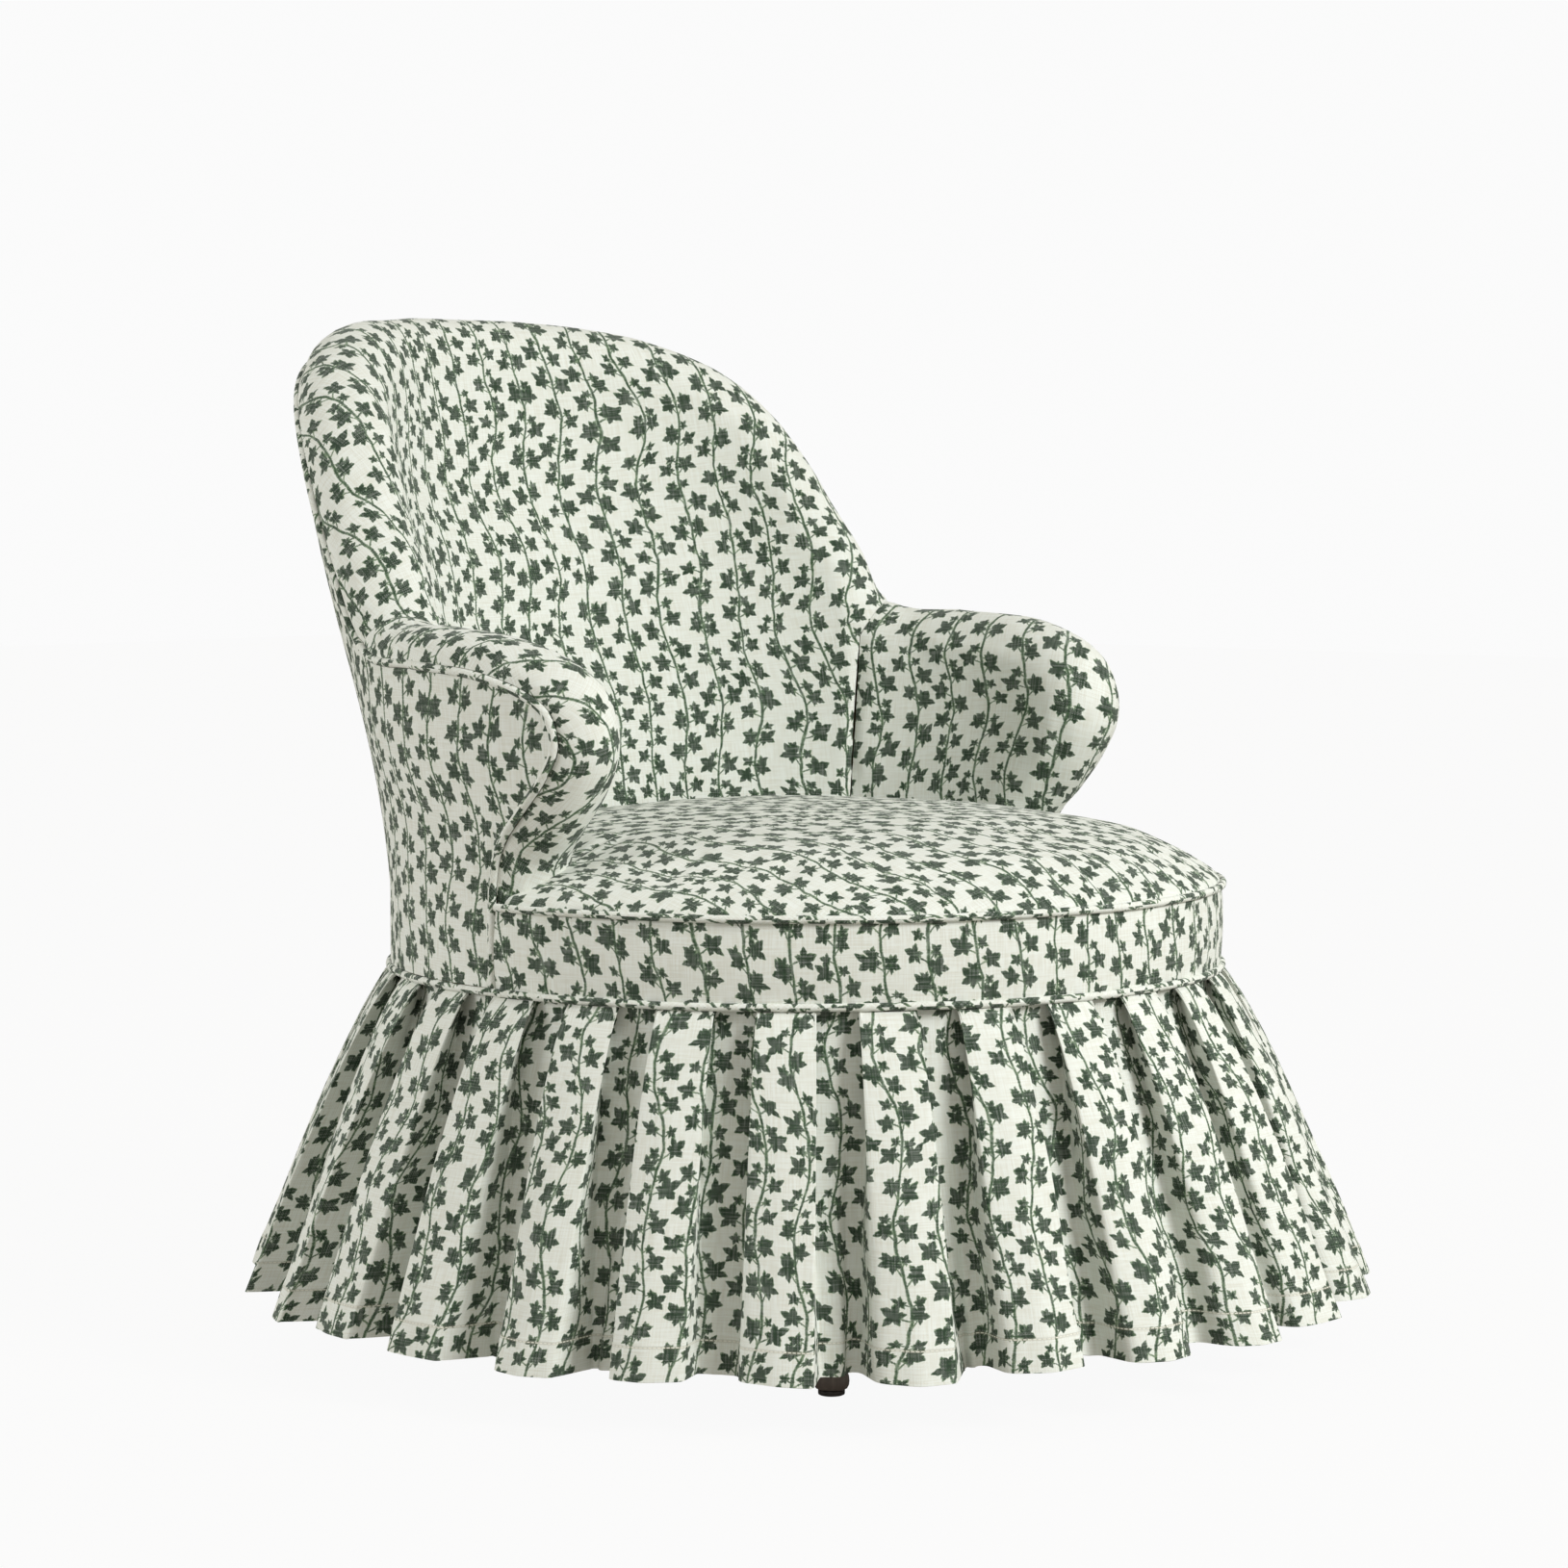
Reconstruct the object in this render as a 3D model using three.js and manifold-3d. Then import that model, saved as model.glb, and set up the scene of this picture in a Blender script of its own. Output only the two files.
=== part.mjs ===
// A skirted slipper chair: a round seat, one curved shell for back and arms, a pleated skirt, a hidden frame.
// Millimetres, +Z up. The origin is on the floor under the middle of the seat, and the chair faces -Y.
// Angles are measured at the seat's axis from the rear middle, positive towards the sitter's left (+X).
import * as THREE from "three";
import { mergeVertices } from "three/addons/utils/BufferGeometryUtils.js";
import Module from "manifold-3d";

const wasm = await Module();
wasm.setup();
const { degToRad, lerp, clamp, smoothstep } = THREE.MathUtils;

// Overall sizes
const backHeight = 811;
const armHeight = 565;
const seatRadius = 330;
const seatWeltHeight = 358;
const seatCrownDepth = 46.7;
const bandWidth = 64;
const hemFlareWidth = 111;
const hemHeight = 42;
const shellThickness = 70;

// Where the arms start, where their noses reach, and where they meet the back
const armFootAngle = degToRad(90.8);
const armNoseAngle = degToRad(103.3);
const armBackAngle = degToRad(61.5);
const seamFootAngle = degToRad(57);
const armInnerFootAngle = degToRad(76);

// How far the shell leans back, and how far its sides swell out
const backLeanDepth = 90;
const upperSpread = 10;
const sideSwell = 10;

// Layers of the shell from the outside in, with a gap between neighbours
const clearance = 0.3;
const coverThickness = 3;
const paddingThickness = 4.7;
const timberThickness = 19;
const hessianThickness = 1.5;
const frameInset = 30;
const weltRadius = 3;
const weltInset = 28.5;
const weltSink = 0.3;

// Seat frame: a ring of four half-lapped rails, with posts tenoned into it
const bandPaddingThickness = 4.5;
const ringWidth = 59;
const ringDepth = 74;
const ringSinkDepth = 14;
const lapLength = 38;
const postWidth = 34;
const postSetbackWidth = 2;
const postFootThickness = 14;
const tenonDepth = 34;
const tenonWidth = 24;
const tenonThickness = 10;
const armRailDepth = 30;
const hoopDepth = 32;

// Webbing, platform and underside
const strapCount = 4;
const strapWidth = 50;
const strapEdgeWidth = 118;
const strapThickness = 1.5;
const platformGap = 5.2;
const platformHemWidth = 2;
const platformThickness = 1.2;
const dustCoverInset = 9;
const dustCoverThickness = 1;
const seatRearGap = 1.2;

// Legs
const legInset = 44;
const legTopRadius = 24;
const legNeckRadius = 21;
const legNeckHeight = 14;
const legAnkleRadius = 11;
const legFootRadius = 13;
const legFootHeight = 22;
const glideRadius = 10;
const glideHeight = 4;
const plateSize = 62;
const plateThickness = 2.5;
const boltRadius = 4;
const boltInLeg = 40;
const boltInRing = 45;

// Skirt
const pleatCount = 28;
const panelShare = 0.67;
const skirtCloth = 2.7;
const topPleatDepth = 3;
const hemPleatDepth = 30;
const tackStripThickness = 2.4;
const tackStripWidth = 17;

// Facets
const turns = 48;
const legSides = 12;
const cordSides = 6;
const armSteps = 12;
const backSteps = 16;
const skirtRows = 3;
const overrun = 6;

// Sizes that follow from those above
const skirtWeltHeight = seatWeltHeight - bandWidth;
const hemRadius = seatRadius + hemFlareWidth;
const rollRadius = shellThickness / 2;
const bandInnerRadius = seatRadius - coverThickness;
const bandPaddingRadius = bandInnerRadius - 4 * clearance;
const ringOuterRadius = bandPaddingRadius - bandPaddingThickness - clearance;
const ringInnerRadius = ringOuterRadius - ringWidth;
const ringTop = seatWeltHeight - ringSinkDepth;
const ringBottom = ringTop - ringDepth;
const legRingRadius = ringOuterRadius - legInset;
const dustCoverRadius = ringOuterRadius - dustCoverInset;
const strapBase = ringTop + clearance;
const platformBase = strapBase + 2 * (strapThickness + clearance);
const shellFoot = platformBase + platformThickness + clearance;
const coverFoot = skirtWeltHeight + weltRadius + clearance;
const skirtTop = skirtWeltHeight - weltRadius - clearance;
const rimHeight = seatWeltHeight + weltRadius + clearance;
const crownHeight = rimHeight + seatCrownDepth;
const frameDepth = coverThickness + paddingThickness + 2 * clearance;
const hessianDepth = frameDepth + timberThickness + clearance;
const foamDepth = hessianDepth + hessianThickness + clearance;
const postRing = seatRadius - frameDepth - timberThickness / 2;
const platformRadius = postRing - postFootThickness / 2 - platformGap;
const strapReach = platformRadius - platformHemWidth;
const strapPitch = (2 * (ringInnerRadius - strapEdgeWidth)) / (strapCount - 1);
const plateTop = ringBottom - clearance;
const legTop = plateTop - plateThickness - clearance;
const seatRearRadius = seatRadius - shellThickness - seatRearGap;
const wholeTurn = 2 * Math.PI;

// Finishes
const finish = (color, roughness, metalness = 0) =>
  new THREE.MeshStandardMaterial({ color, roughness, metalness });
const fabric = finish(0xc9ccb8, 0.9);
const foam = finish(0xe8dfb0, 0.95);
const wadding = finish(0xf1efe9, 1);
const beech = finish(0xc79a68, 0.7);
const stainedBeech = finish(0x6b5443, 0.45);
const jute = finish(0xa98a5c, 1);
const hessian = finish(0xb79c70, 1);
const blackCloth = finish(0x26262a, 0.95);
const board = finish(0xa78d68, 0.9);
const steel = finish(0xb4b6ba, 0.35, 1);
const nylon = finish(0x3a3631, 0.5);

const chair = new THREE.Group();

function addPiece(name, shape, material) {
  const geometry = shape.isBufferGeometry ? shape : geometryOf(shape);
  const mesh = new THREE.Mesh(geometry, material.clone());
  mesh.name = name;
  chair.add(mesh);
}

// Adds a piece of the left side, and its mirror image on the right.
function addPair(name, shape, material) {
  const left = shape.isBufferGeometry ? solidOf(shape) : shape;
  addPiece(`${name}_left`, left, material);
  addPiece(`${name}_right`, left.mirror([1, 0, 0]), material);
}

// Solids for cutting and joining
const axisCount = 3;

function solidOf(geometry) {
  const bare = geometry.clone();
  bare.deleteAttribute("normal");
  bare.deleteAttribute("uv");
  const merged = mergeVertices(bare);
  const vertProperties = merged.getAttribute("position").array;
  const triVerts = new Uint32Array(merged.index.array);
  return new wasm.Manifold(new wasm.Mesh({ numProp: axisCount, vertProperties, triVerts }));
}

function geometryOf(solid) {
  const mesh = solid.getMesh();
  const positions = new Float32Array(mesh.numVert * axisCount);
  for (let i = 0; i < mesh.numVert; i++) {
    const start = i * mesh.numProp;
    positions.set(mesh.vertProperties.subarray(start, start + axisCount), i * axisCount);
  }
  const geometry = new THREE.BufferGeometry();
  geometry.setAttribute("position", new THREE.BufferAttribute(positions, axisCount));
  return geometry.setIndex(new THREE.BufferAttribute(new Uint32Array(mesh.triVerts), 1));
}

// Makes a geometry whose faces point out, whichever way round they were listed.
function closedGeometry(points, triangles) {
  const across = new THREE.Vector3();
  let volume = 0;
  for (const [a, b, c] of triangles) {
    volume += points[a].dot(across.crossVectors(points[b], points[c]));
  }
  const facing = volume < 0 ? triangles.map(([a, b, c]) => [a, c, b]) : triangles;
  return new THREE.BufferGeometry().setFromPoints(points).setIndex(facing.flat());
}

// A solid between two matching grids of points, closed along its four sides. Past its middle column its
// faces are split the other way, so that a symmetric grid gives a symmetric solid.
function slab(front, back, middle = front.length) {
  const columns = front.length;
  const rows = front[0].length;
  const triangles = [];
  const at = (side, i, j) => (side * columns + i) * rows + j;
  const quad = (a, b, c, d) => triangles.push([a, b, c], [a, c, d]);
  for (let i = 0; i + 1 < columns; i++) {
    for (let j = 0; j + 1 < rows; j++) {
      const outside = [at(0, i, j), at(0, i + 1, j), at(0, i + 1, j + 1), at(0, i, j + 1)];
      const inside = [at(1, i + 1, j + 1), at(1, i + 1, j), at(1, i, j), at(1, i, j + 1)];
      if (i >= middle) {
        outside.push(outside.shift());
        inside.push(inside.shift());
      }
      quad(...outside);
      quad(...inside);
    }
    quad(at(0, i + 1, 0), at(0, i, 0), at(1, i, 0), at(1, i + 1, 0));
    quad(at(0, i, rows - 1), at(0, i + 1, rows - 1), at(1, i + 1, rows - 1), at(1, i, rows - 1));
  }
  const end = columns - 1;
  for (let j = 0; j + 1 < rows; j++) {
    quad(at(0, 0, j), at(0, 0, j + 1), at(1, 0, j + 1), at(1, 0, j));
    quad(at(0, end, j + 1), at(0, end, j), at(1, end, j), at(1, end, j + 1));
  }
  return closedGeometry([...front.flat(), ...back.flat()], triangles);
}

// A cord through rings of points, with flat ends
function cordThrough(rings) {
  const sides = rings[0].length;
  const triangles = [];
  for (let i = 0; i + 1 < rings.length; i++) {
    for (let k = 0; k < sides; k++) {
      const a = i * sides + k;
      const b = i * sides + ((k + 1) % sides);
      triangles.push([a, b, b + sides], [a, b + sides, a + sides]);
    }
  }
  const end = (rings.length - 1) * sides;
  for (let k = 1; k + 1 < sides; k++) {
    triangles.push([0, k + 1, k], [end, end + k, end + k + 1]);
  }
  return closedGeometry(rings.flat(), triangles);
}

function turned(profile, segments = turns) {
  const points = profile.map(([radius, height]) => new THREE.Vector2(radius, height));
  return new THREE.LatheGeometry(points, segments).rotateX(Math.PI / 2);
}

function ringBand(inner, outer, bottom, top) {
  return turned([[inner, bottom], [outer, bottom], [outer, top], [inner, top], [inner, bottom]]);
}

function disc(radius, bottom, top) {
  return turned([[0, bottom], [radius, bottom], [radius, top], [0, top]]);
}

function rod(radius, bottom, top, angle, ringRadius) {
  const geometry = new THREE.CylinderGeometry(radius, radius, top - bottom, legSides);
  return geometry.rotateX(Math.PI / 2).translate(0, ringRadius, (bottom + top) / 2).rotateZ(-angle);
}

function block(width, thickness, bottom, top, angle, radius) {
  const geometry = new THREE.BoxGeometry(width, thickness, top - bottom);
  return geometry.translate(0, radius, (bottom + top) / 2).rotateZ(-angle);
}

// An upright prism over an outline of [radius, angle] points
function prism(outline, bottom, top) {
  const corners = outline.map(([r, angle]) => new THREE.Vector2(r * Math.sin(angle), r * Math.cos(angle)));
  const depth = top - bottom;
  const geometry = new THREE.ExtrudeGeometry(new THREE.Shape(corners), { depth, bevelEnabled: false });
  return geometry.translate(0, 0, bottom);
}

function arcPoints(radius, from, to) {
  const steps = Math.ceil((Math.abs(to - from) / wholeTurn) * turns);
  return Array.from({ length: steps + 1 }, (_, i) => [radius, lerp(from, to, i / steps)]);
}

// A slice of a round piece, wide enough to cut through it
function slice(from, to, radius, bottom, top) {
  const reach = 1.2 * radius;
  return solidOf(prism([[0, 0], ...arcPoints(reach, from, to)], bottom - overrun, top + overrun));
}

function pointAt(angle, height, radius) {
  return new THREE.Vector3(radius * Math.sin(angle), radius * Math.cos(angle), height);
}

// Shell: every layer of the back and arms follows one outer surface, at its own depth below it.
// Its level sections are circles that grow and move back with height.
const leanPowerShare = 1.15;
const spreadEndShare = 0.67;

function outerRadius(angle, height) {
  const rise = clamp((height - seatWeltHeight) / (backHeight - seatWeltHeight), 0, 1);
  const lean = backLeanDepth * smoothstep(rise ** leanPowerShare, 0, 1);
  const spread = upperSpread * smoothstep(rise, 0, spreadEndShare);
  const radius = seatRadius + spread + sideSwell * Math.sin(Math.PI * rise);
  return lean * Math.cos(angle) + Math.sqrt(radius ** 2 - (lean * Math.sin(angle)) ** 2);
}

// The edge runs from an arm's foot round its nose, along its top and up the slope to the top of the back.
// Nose and arm top: shares of the way between two angles, and from the shell's foot to the arm's height
const noseShares = [
  [0, 0], [0, 0.2], [0.3, 0.28], [0.66, 0.41], [0.95, 0.55], [1, 0.665], [0.8, 0.79], [0.4, 0.88],
];
const armTopShares = [[0.58, 0.965], [0.3, 0.995], [0, 1.03]];
// Slope: shares of the arm's rear angle, and of the way from the arm's height to the back's
const slopeShares = [
  [0.93, 0.2], [0.865, 0.35], [0.79, 0.535], [0.7, 0.71], [0.58, 0.85], [0.42, 0.95], [0.22, 0.99],
];

function makeEdgeCurve() {
  const left = [
    ...noseShares.map(([a, h]) => [lerp(armFootAngle, armNoseAngle, a), lerp(shellFoot, armHeight, h)]),
    ...armTopShares.map(([a, h]) => [lerp(armBackAngle, armNoseAngle, a), lerp(shellFoot, armHeight, h)]),
    ...slopeShares.map(([a, h]) => [a * armBackAngle, lerp(armHeight, backHeight, h)]),
  ];
  const right = left.map(([angle, height]) => [-angle, height]).reverse();
  const points = [...left, [0, backHeight], ...right];
  return new THREE.CatmullRomCurve3(points.map(([a, h]) => new THREE.Vector3(a * seatRadius, h, 0)));
}

const edgeCurve = makeEdgeCurve();
const armControls = noseShares.length + armTopShares.length - 1;
const seamAt = armControls / (edgeCurve.points.length - 1);
const seamGapShare = 0.00015;

// Angle and height of the point that lies a distance inside the edge
function insideEdge(t, inset) {
  const point = edgeCurve.getPoint(t);
  const tangent = edgeCurve.getTangent(t);
  return [(point.x - tangent.y * inset) / seatRadius, point.y + tangent.x * inset];
}

function footAngle(t) {
  if (t <= seamAt) return lerp(armInnerFootAngle, seamFootAngle, t / seamAt);
  if (t >= 1 - seamAt) return -footAngle(1 - t);
  return seamFootAngle * (1 - (2 * (t - seamAt)) / (1 - 2 * seamAt));
}

// A row is a distance inside the edge, a share of the way from there down to the foot, and a depth.
function shellPoint(t, { inset, fallShare = 0, depth }) {
  const [angle, height] = insideEdge(t, inset);
  const a = lerp(angle, footAngle(t), fallShare);
  const h = lerp(height, shellFoot, fallShare);
  return pointAt(a, h, outerRadius(a, h) - depth);
}

function shellGrid(stations, rows) {
  return stations.map((t) => rows.map((row) => shellPoint(t, row)));
}

const between = (from, to, steps) => Array.from({ length: steps + 1 }, (_, i) => lerp(from, to, i / steps));
const leftArm = between(0, seamAt - seamGapShare, armSteps);
const back = between(seamAt + seamGapShare, 1 - seamAt - seamGapShare, backSteps);
const wholeShell = [
  ...between(0, seamAt, armSteps),
  ...between(seamAt, 1 - seamAt, backSteps).slice(1, -1),
  ...between(1 - seamAt, 1, armSteps),
];

function layer(stations, outerRows, innerRows) {
  const middle = stations === leftArm ? stations.length : (stations.length - 1) / 2;
  return slab(shellGrid(stations, outerRows), shellGrid(stations, innerRows), middle);
}

const fallShares = [0, 0.25, 0.5, 0.75, 1];
const fallRows = (depth) => fallShares.map((fallShare) => ({ inset: rollRadius, fallShare, depth }));
const flatRows = (start, depth) => [{ inset: start, depth }, ...fallRows(depth)];

function flatLayer(stations, start, depth, thickness) {
  return layer(stations, flatRows(start, depth), flatRows(start, depth + thickness));
}

// Rolled edge: turns of a half circle in the shell's thickness, from the welt on the outside to the inside face
const rollRow = (radius, turn) => ({
  inset: rollRadius - radius * Math.cos(turn),
  depth: rollRadius + radius * Math.sin(turn),
});
const coverStart = weltInset - weltRadius - clearance;
const coverTurn = -Math.acos((rollRadius - coverStart) / rollRadius);
const rollTurns = [coverTurn, 0.45 * coverTurn, 0, Math.PI / 4];

function insideCover(stations) {
  const rows = (radius) => [
    ...rollTurns.map((turn) => rollRow(radius, turn)),
    ...fallRows(rollRadius + radius),
  ];
  return layer(stations, rows(rollRadius), rows(rollRadius - coverThickness));
}

function shellFoam(stations) {
  const radius = rollRadius - coverThickness - 2 * clearance;
  const start = frameInset - 2 * clearance;
  const foamTurns = [-Math.acos((rollRadius - start) / radius), ...rollTurns];
  const outerRows = [...foamTurns.map((turn) => rollRow(radius, turn)), ...fallRows(rollRadius + radius)];
  const frameRows = foamTurns.map((_, i) => {
    const depth = lerp(frameDepth - clearance, foamDepth, i / (foamTurns.length - 1));
    return { inset: start, depth };
  });
  return layer(stations, outerRows, [...frameRows, ...fallRows(foamDepth)]);
}

// The outside cover runs on from the shell's foot down to the skirt.
function outsideCover() {
  const start = weltInset + weltRadius + clearance;
  const footLine = (depth) => {
    const side = (t) => flatRows(start, depth).map((row) => shellPoint(t, row));
    const foot = wholeShell.slice(1, -1).map((t) => shellPoint(t, fallRows(depth).at(-1)));
    return [...side(0), ...foot, ...side(1).reverse()];
  };
  const drop = (depth) => footLine(depth).map((point) => [point.clone().setZ(coverFoot), point]);
  const shell = flatLayer(wholeShell, start, 0, coverThickness);
  return solidOf(shell).add(solidOf(slab(drop(0), drop(coverThickness))));
}

function edgeWelt() {
  const ringAround = (place) =>
    Array.from({ length: cordSides }, (_, k) => {
      const turn = (k / cordSides) * wholeTurn;
      return place(weltInset + weltRadius * Math.cos(turn), weltSink + weltRadius * Math.sin(turn));
    });
  const foot = (t) => ringAround((inset, depth) => shellPoint(t, { inset, depth }).setZ(coverFoot));
  const rings = wholeShell.map((t) => ringAround((inset, depth) => shellPoint(t, { inset, depth })));
  return cordThrough([foot(0), ...rings, foot(1)]);
}

// Shell frame: a bent hoop round the back, a post and a rail for each arm, and a post at each side of the back

function frameLayer(stations) {
  return solidOf(flatLayer(stations, frameInset, frameDepth, timberThickness));
}

// The part of the back that lies below the hoop, cut a little wide at its sides and foot
const overrunShare = 0.01;

function belowHoop(gap) {
  const inset = frameInset + hoopDepth + gap;
  const stations = between(seamAt - 2 * overrunShare, 1 - seamAt + 2 * overrunShare, backSteps);
  const falls = [...fallShares.slice(1, -1), 1 + overrunShare];
  const rows = (depth) => [
    { inset, depth },
    ...falls.map((fallShare) => ({ inset: rollRadius, fallShare, depth })),
  ];
  return solidOf(layer(stations, rows(0), rows(shellThickness)));
}

const halfPostAngle = (postWidth / 2 + postSetbackWidth) / postRing;
const backPostAngle = seamFootAngle - halfPostAngle;
const armPostAngle = armFootAngle - frameInset / seatRadius - halfPostAngle;
const armRailBottom = armHeight - frameInset - armRailDepth;

function backHoop() {
  return frameLayer(back).subtract(belowHoop(0));
}

// A post's foot stands on the seat ring, and its tenon goes into a mortise.
function postWithTenon(layer, angle, top) {
  const zone = block(postWidth, ringOuterRadius, shellFoot - overrun, top, angle, postRing);
  const foot = block(postWidth, postFootThickness, strapBase, shellFoot + overrun, angle, postRing);
  const tenon = block(tenonWidth, tenonThickness, ringTop - tenonDepth, shellFoot, angle, postRing);
  return layer.intersect(solidOf(zone)).add(solidOf(foot)).add(solidOf(tenon));
}

function backPost() {
  return postWithTenon(frameLayer(back).intersect(belowHoop(clearance)), backPostAngle, backHeight);
}

function armPost() {
  return postWithTenon(frameLayer(leftArm), armPostAngle, armRailBottom - clearance);
}

function armRail() {
  return frameLayer(leftArm).intersect(solidOf(disc(2 * seatRadius, armRailBottom, backHeight)));
}

// Seat ring: rails in plan quarters, each with a tongue over the next and a tongue under the one before

const quarter = wholeTurn / 4;
const lapAngle = lapLength / ringOuterRadius;
const jointGap = clearance / ringInnerRadius;

function seatRail(start) {
  const middle = (ringBottom + ringTop) / 2;
  const part = (bottom, top, from, to) => {
    const ring = solidOf(ringBand(ringInnerRadius, ringOuterRadius, bottom, top));
    return ring.intersect(slice(from, to, ringOuterRadius, bottom, top));
  };
  const from = start - lapAngle / 2;
  const to = start + lapAngle / 2;
  return part(ringBottom, middle - clearance, from + jointGap, from + quarter)
    .add(part(middle, ringTop, to + jointGap, to + quarter))
    .add(part(ringBottom, ringTop, to + jointGap, from + quarter));
}

const legAngles = [0.5, 1.5, 2.5, 3.5].map((quarters) => quarters * quarter);
const postAngles = [backPostAngle, -backPostAngle, armPostAngle, -armPostAngle];

function cutRail(rail) {
  const mortises = postAngles.map((angle) =>
    block(
      tenonWidth + 2 * clearance,
      tenonThickness + 2 * clearance,
      ringTop - tenonDepth - clearance,
      ringTop + overrun,
      angle,
      postRing,
    ),
  );
  const boreTop = ringBottom + boltInRing + clearance;
  const bores = legAngles.map((angle) =>
    rod(boltRadius + clearance, ringBottom - overrun, boreTop, angle, legRingRadius),
  );
  return [...mortises, ...bores].reduce((left, cut) => left.subtract(solidOf(cut)), rail);
}

// Webbing: straps across the ring in two layers

function strap(index, crossing) {
  const offset = (index - (strapCount - 1) / 2) * strapPitch;
  const length = 2 * Math.sqrt(strapReach ** 2 - (Math.abs(offset) + strapWidth / 2) ** 2);
  const base = strapBase + (crossing ? strapThickness + clearance : 0);
  const geometry = new THREE.BoxGeometry(length, strapWidth, strapThickness);
  geometry.translate(0, offset, base + strapThickness / 2);
  return crossing ? geometry.rotateZ(Math.PI / 2) : geometry;
}

// Seat: a dome cut back behind the arms' noses, where the shell stands

const domeShares = [[1, 0], [0.97, 0.2], [0.89, 0.45], [0.75, 0.7], [0.55, 0.875], [0.3, 0.97], [0, 1]];
const seatCutAngle = armFootAngle + 2 * clearance / seatRadius;

function domeProfile(inset) {
  const radius = seatRadius - inset;
  const crown = seatCrownDepth - inset;
  return domeShares.map(([r, h]) => [r * radius, rimHeight + h * crown]);
}

function seatOutline() {
  const front = arcPoints(seatRadius + overrun, seatCutAngle, wholeTurn - seatCutAngle);
  const rear = arcPoints(seatRearRadius, -seatCutAngle, seatCutAngle);
  return solidOf(prism([...front, ...rear], shellFoot - overrun, crownHeight + overrun));
}

function seatTopCover() {
  const profile = [...domeProfile(coverThickness).reverse(), ...domeProfile(0)];
  return solidOf(turned(profile)).intersect(seatOutline());
}

function seatFoam() {
  const dome = domeProfile(coverThickness + clearance);
  const profile = [[0, shellFoot], [dome[0][0], shellFoot], ...dome];
  return solidOf(turned(profile)).intersect(seatOutline());
}

function seatBandCover() {
  const weltSide = insideEdge(0, coverStart)[0];
  const lowTop = shellFoot - clearance;
  const top = seatWeltHeight - weltRadius - clearance;
  const low = solidOf(ringBand(bandInnerRadius, seatRadius, coverFoot, lowTop));
  const high = solidOf(ringBand(bandInnerRadius, seatRadius, coverFoot, top));
  return low
    .subtract(slice(-weltSide, weltSide, seatRadius, coverFoot, top))
    .add(high.subtract(slice(-seatCutAngle, seatCutAngle, seatRadius, coverFoot, top)));
}

function seatWelt() {
  const ring = new THREE.TorusGeometry(seatRadius, weltRadius, cordSides, turns);
  const behindArms = slice(-seatCutAngle, seatCutAngle, seatRadius, seatWeltHeight, rimHeight);
  return solidOf(ring.translate(0, 0, seatWeltHeight)).subtract(behindArms);
}

// Skirt: box pleats whose panels stand out from the recesses, shallow at the top and deep at the hem

const skirtFlareShare = 0.8;

function skirtPoints(down, inner) {
  const radius = seatRadius + (hemRadius - seatRadius) * down ** skirtFlareShare;
  const depth = lerp(topPleatDepth, hemPleatDepth, down);
  const height = lerp(skirtTop, hemHeight, down);
  const pitch = wholeTurn / pleatCount;
  const cloth = inner ? skirtCloth : 0;
  const half = (panelShare * pitch) / 2 - cloth / radius;
  const points = [];
  for (let k = 0; k < pleatCount; k++) {
    const middle = k * pitch;
    points.push(pointAt(middle - half, height, radius - cloth));
    points.push(pointAt(middle + half, height, radius - cloth));
    points.push(pointAt(middle + half, height, radius - cloth - depth));
    points.push(pointAt(middle + pitch - half, height, radius - cloth - depth));
  }
  return points;
}

function skirt() {
  const levels = between(0, 1, skirtRows);
  const outer = levels.map((down) => skirtPoints(down, false));
  const inner = levels.map((down) => skirtPoints(down, true)).reverse();
  const loops = [...outer, ...inner];
  const around = loops[0].length;
  const triangles = [];
  for (let i = 0; i < loops.length; i++) {
    const next = ((i + 1) % loops.length) * around;
    for (let k = 0; k < around; k++) {
      const beside = (k + 1) % around;
      const [a, b, c, d] = [i * around + k, i * around + beside, next + beside, next + k];
      triangles.push([a, b, c], [a, c, d]);
    }
  }
  return closedGeometry(loops.flat(), triangles);
}

// Legs

function leg(angle) {
  const foot = glideHeight + clearance;
  const shape = turned(
    [
      [0, foot],
      [glideRadius, foot],
      [legFootRadius, foot + (legFootRadius - glideRadius)],
      [legFootRadius, foot + legFootHeight / 2],
      [legAnkleRadius, foot + legFootHeight],
      [legNeckRadius, legTop - legNeckHeight],
      [legTopRadius, legTop],
      [0, legTop],
    ],
    legSides,
  );
  const placed = shape.translate(0, legRingRadius, 0).rotateZ(-angle);
  const boreFoot = legTop - boltInLeg - clearance;
  const bore = rod(boltRadius + clearance, boreFoot, legTop + overrun, angle, legRingRadius);
  return solidOf(placed).subtract(solidOf(bore));
}

function legPlate(angle) {
  const plate = block(plateSize, plateSize, plateTop - plateThickness, plateTop, angle, legRingRadius);
  const hole = rod(boltRadius + clearance, legTop, ringBottom, angle, legRingRadius);
  return solidOf(plate).subtract(solidOf(hole));
}

function dustCover() {
  const bottom = plateTop - dustCoverThickness;
  const opening = plateSize + 2 * clearance;
  return legAngles.reduce(
    (cloth, angle) =>
      cloth.subtract(solidOf(block(opening, opening, bottom - overrun, ringBottom, angle, legRingRadius))),
    solidOf(disc(dustCoverRadius, bottom, plateTop)),
  );
}

// Assembly, from the floor up and from the inside out

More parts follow.
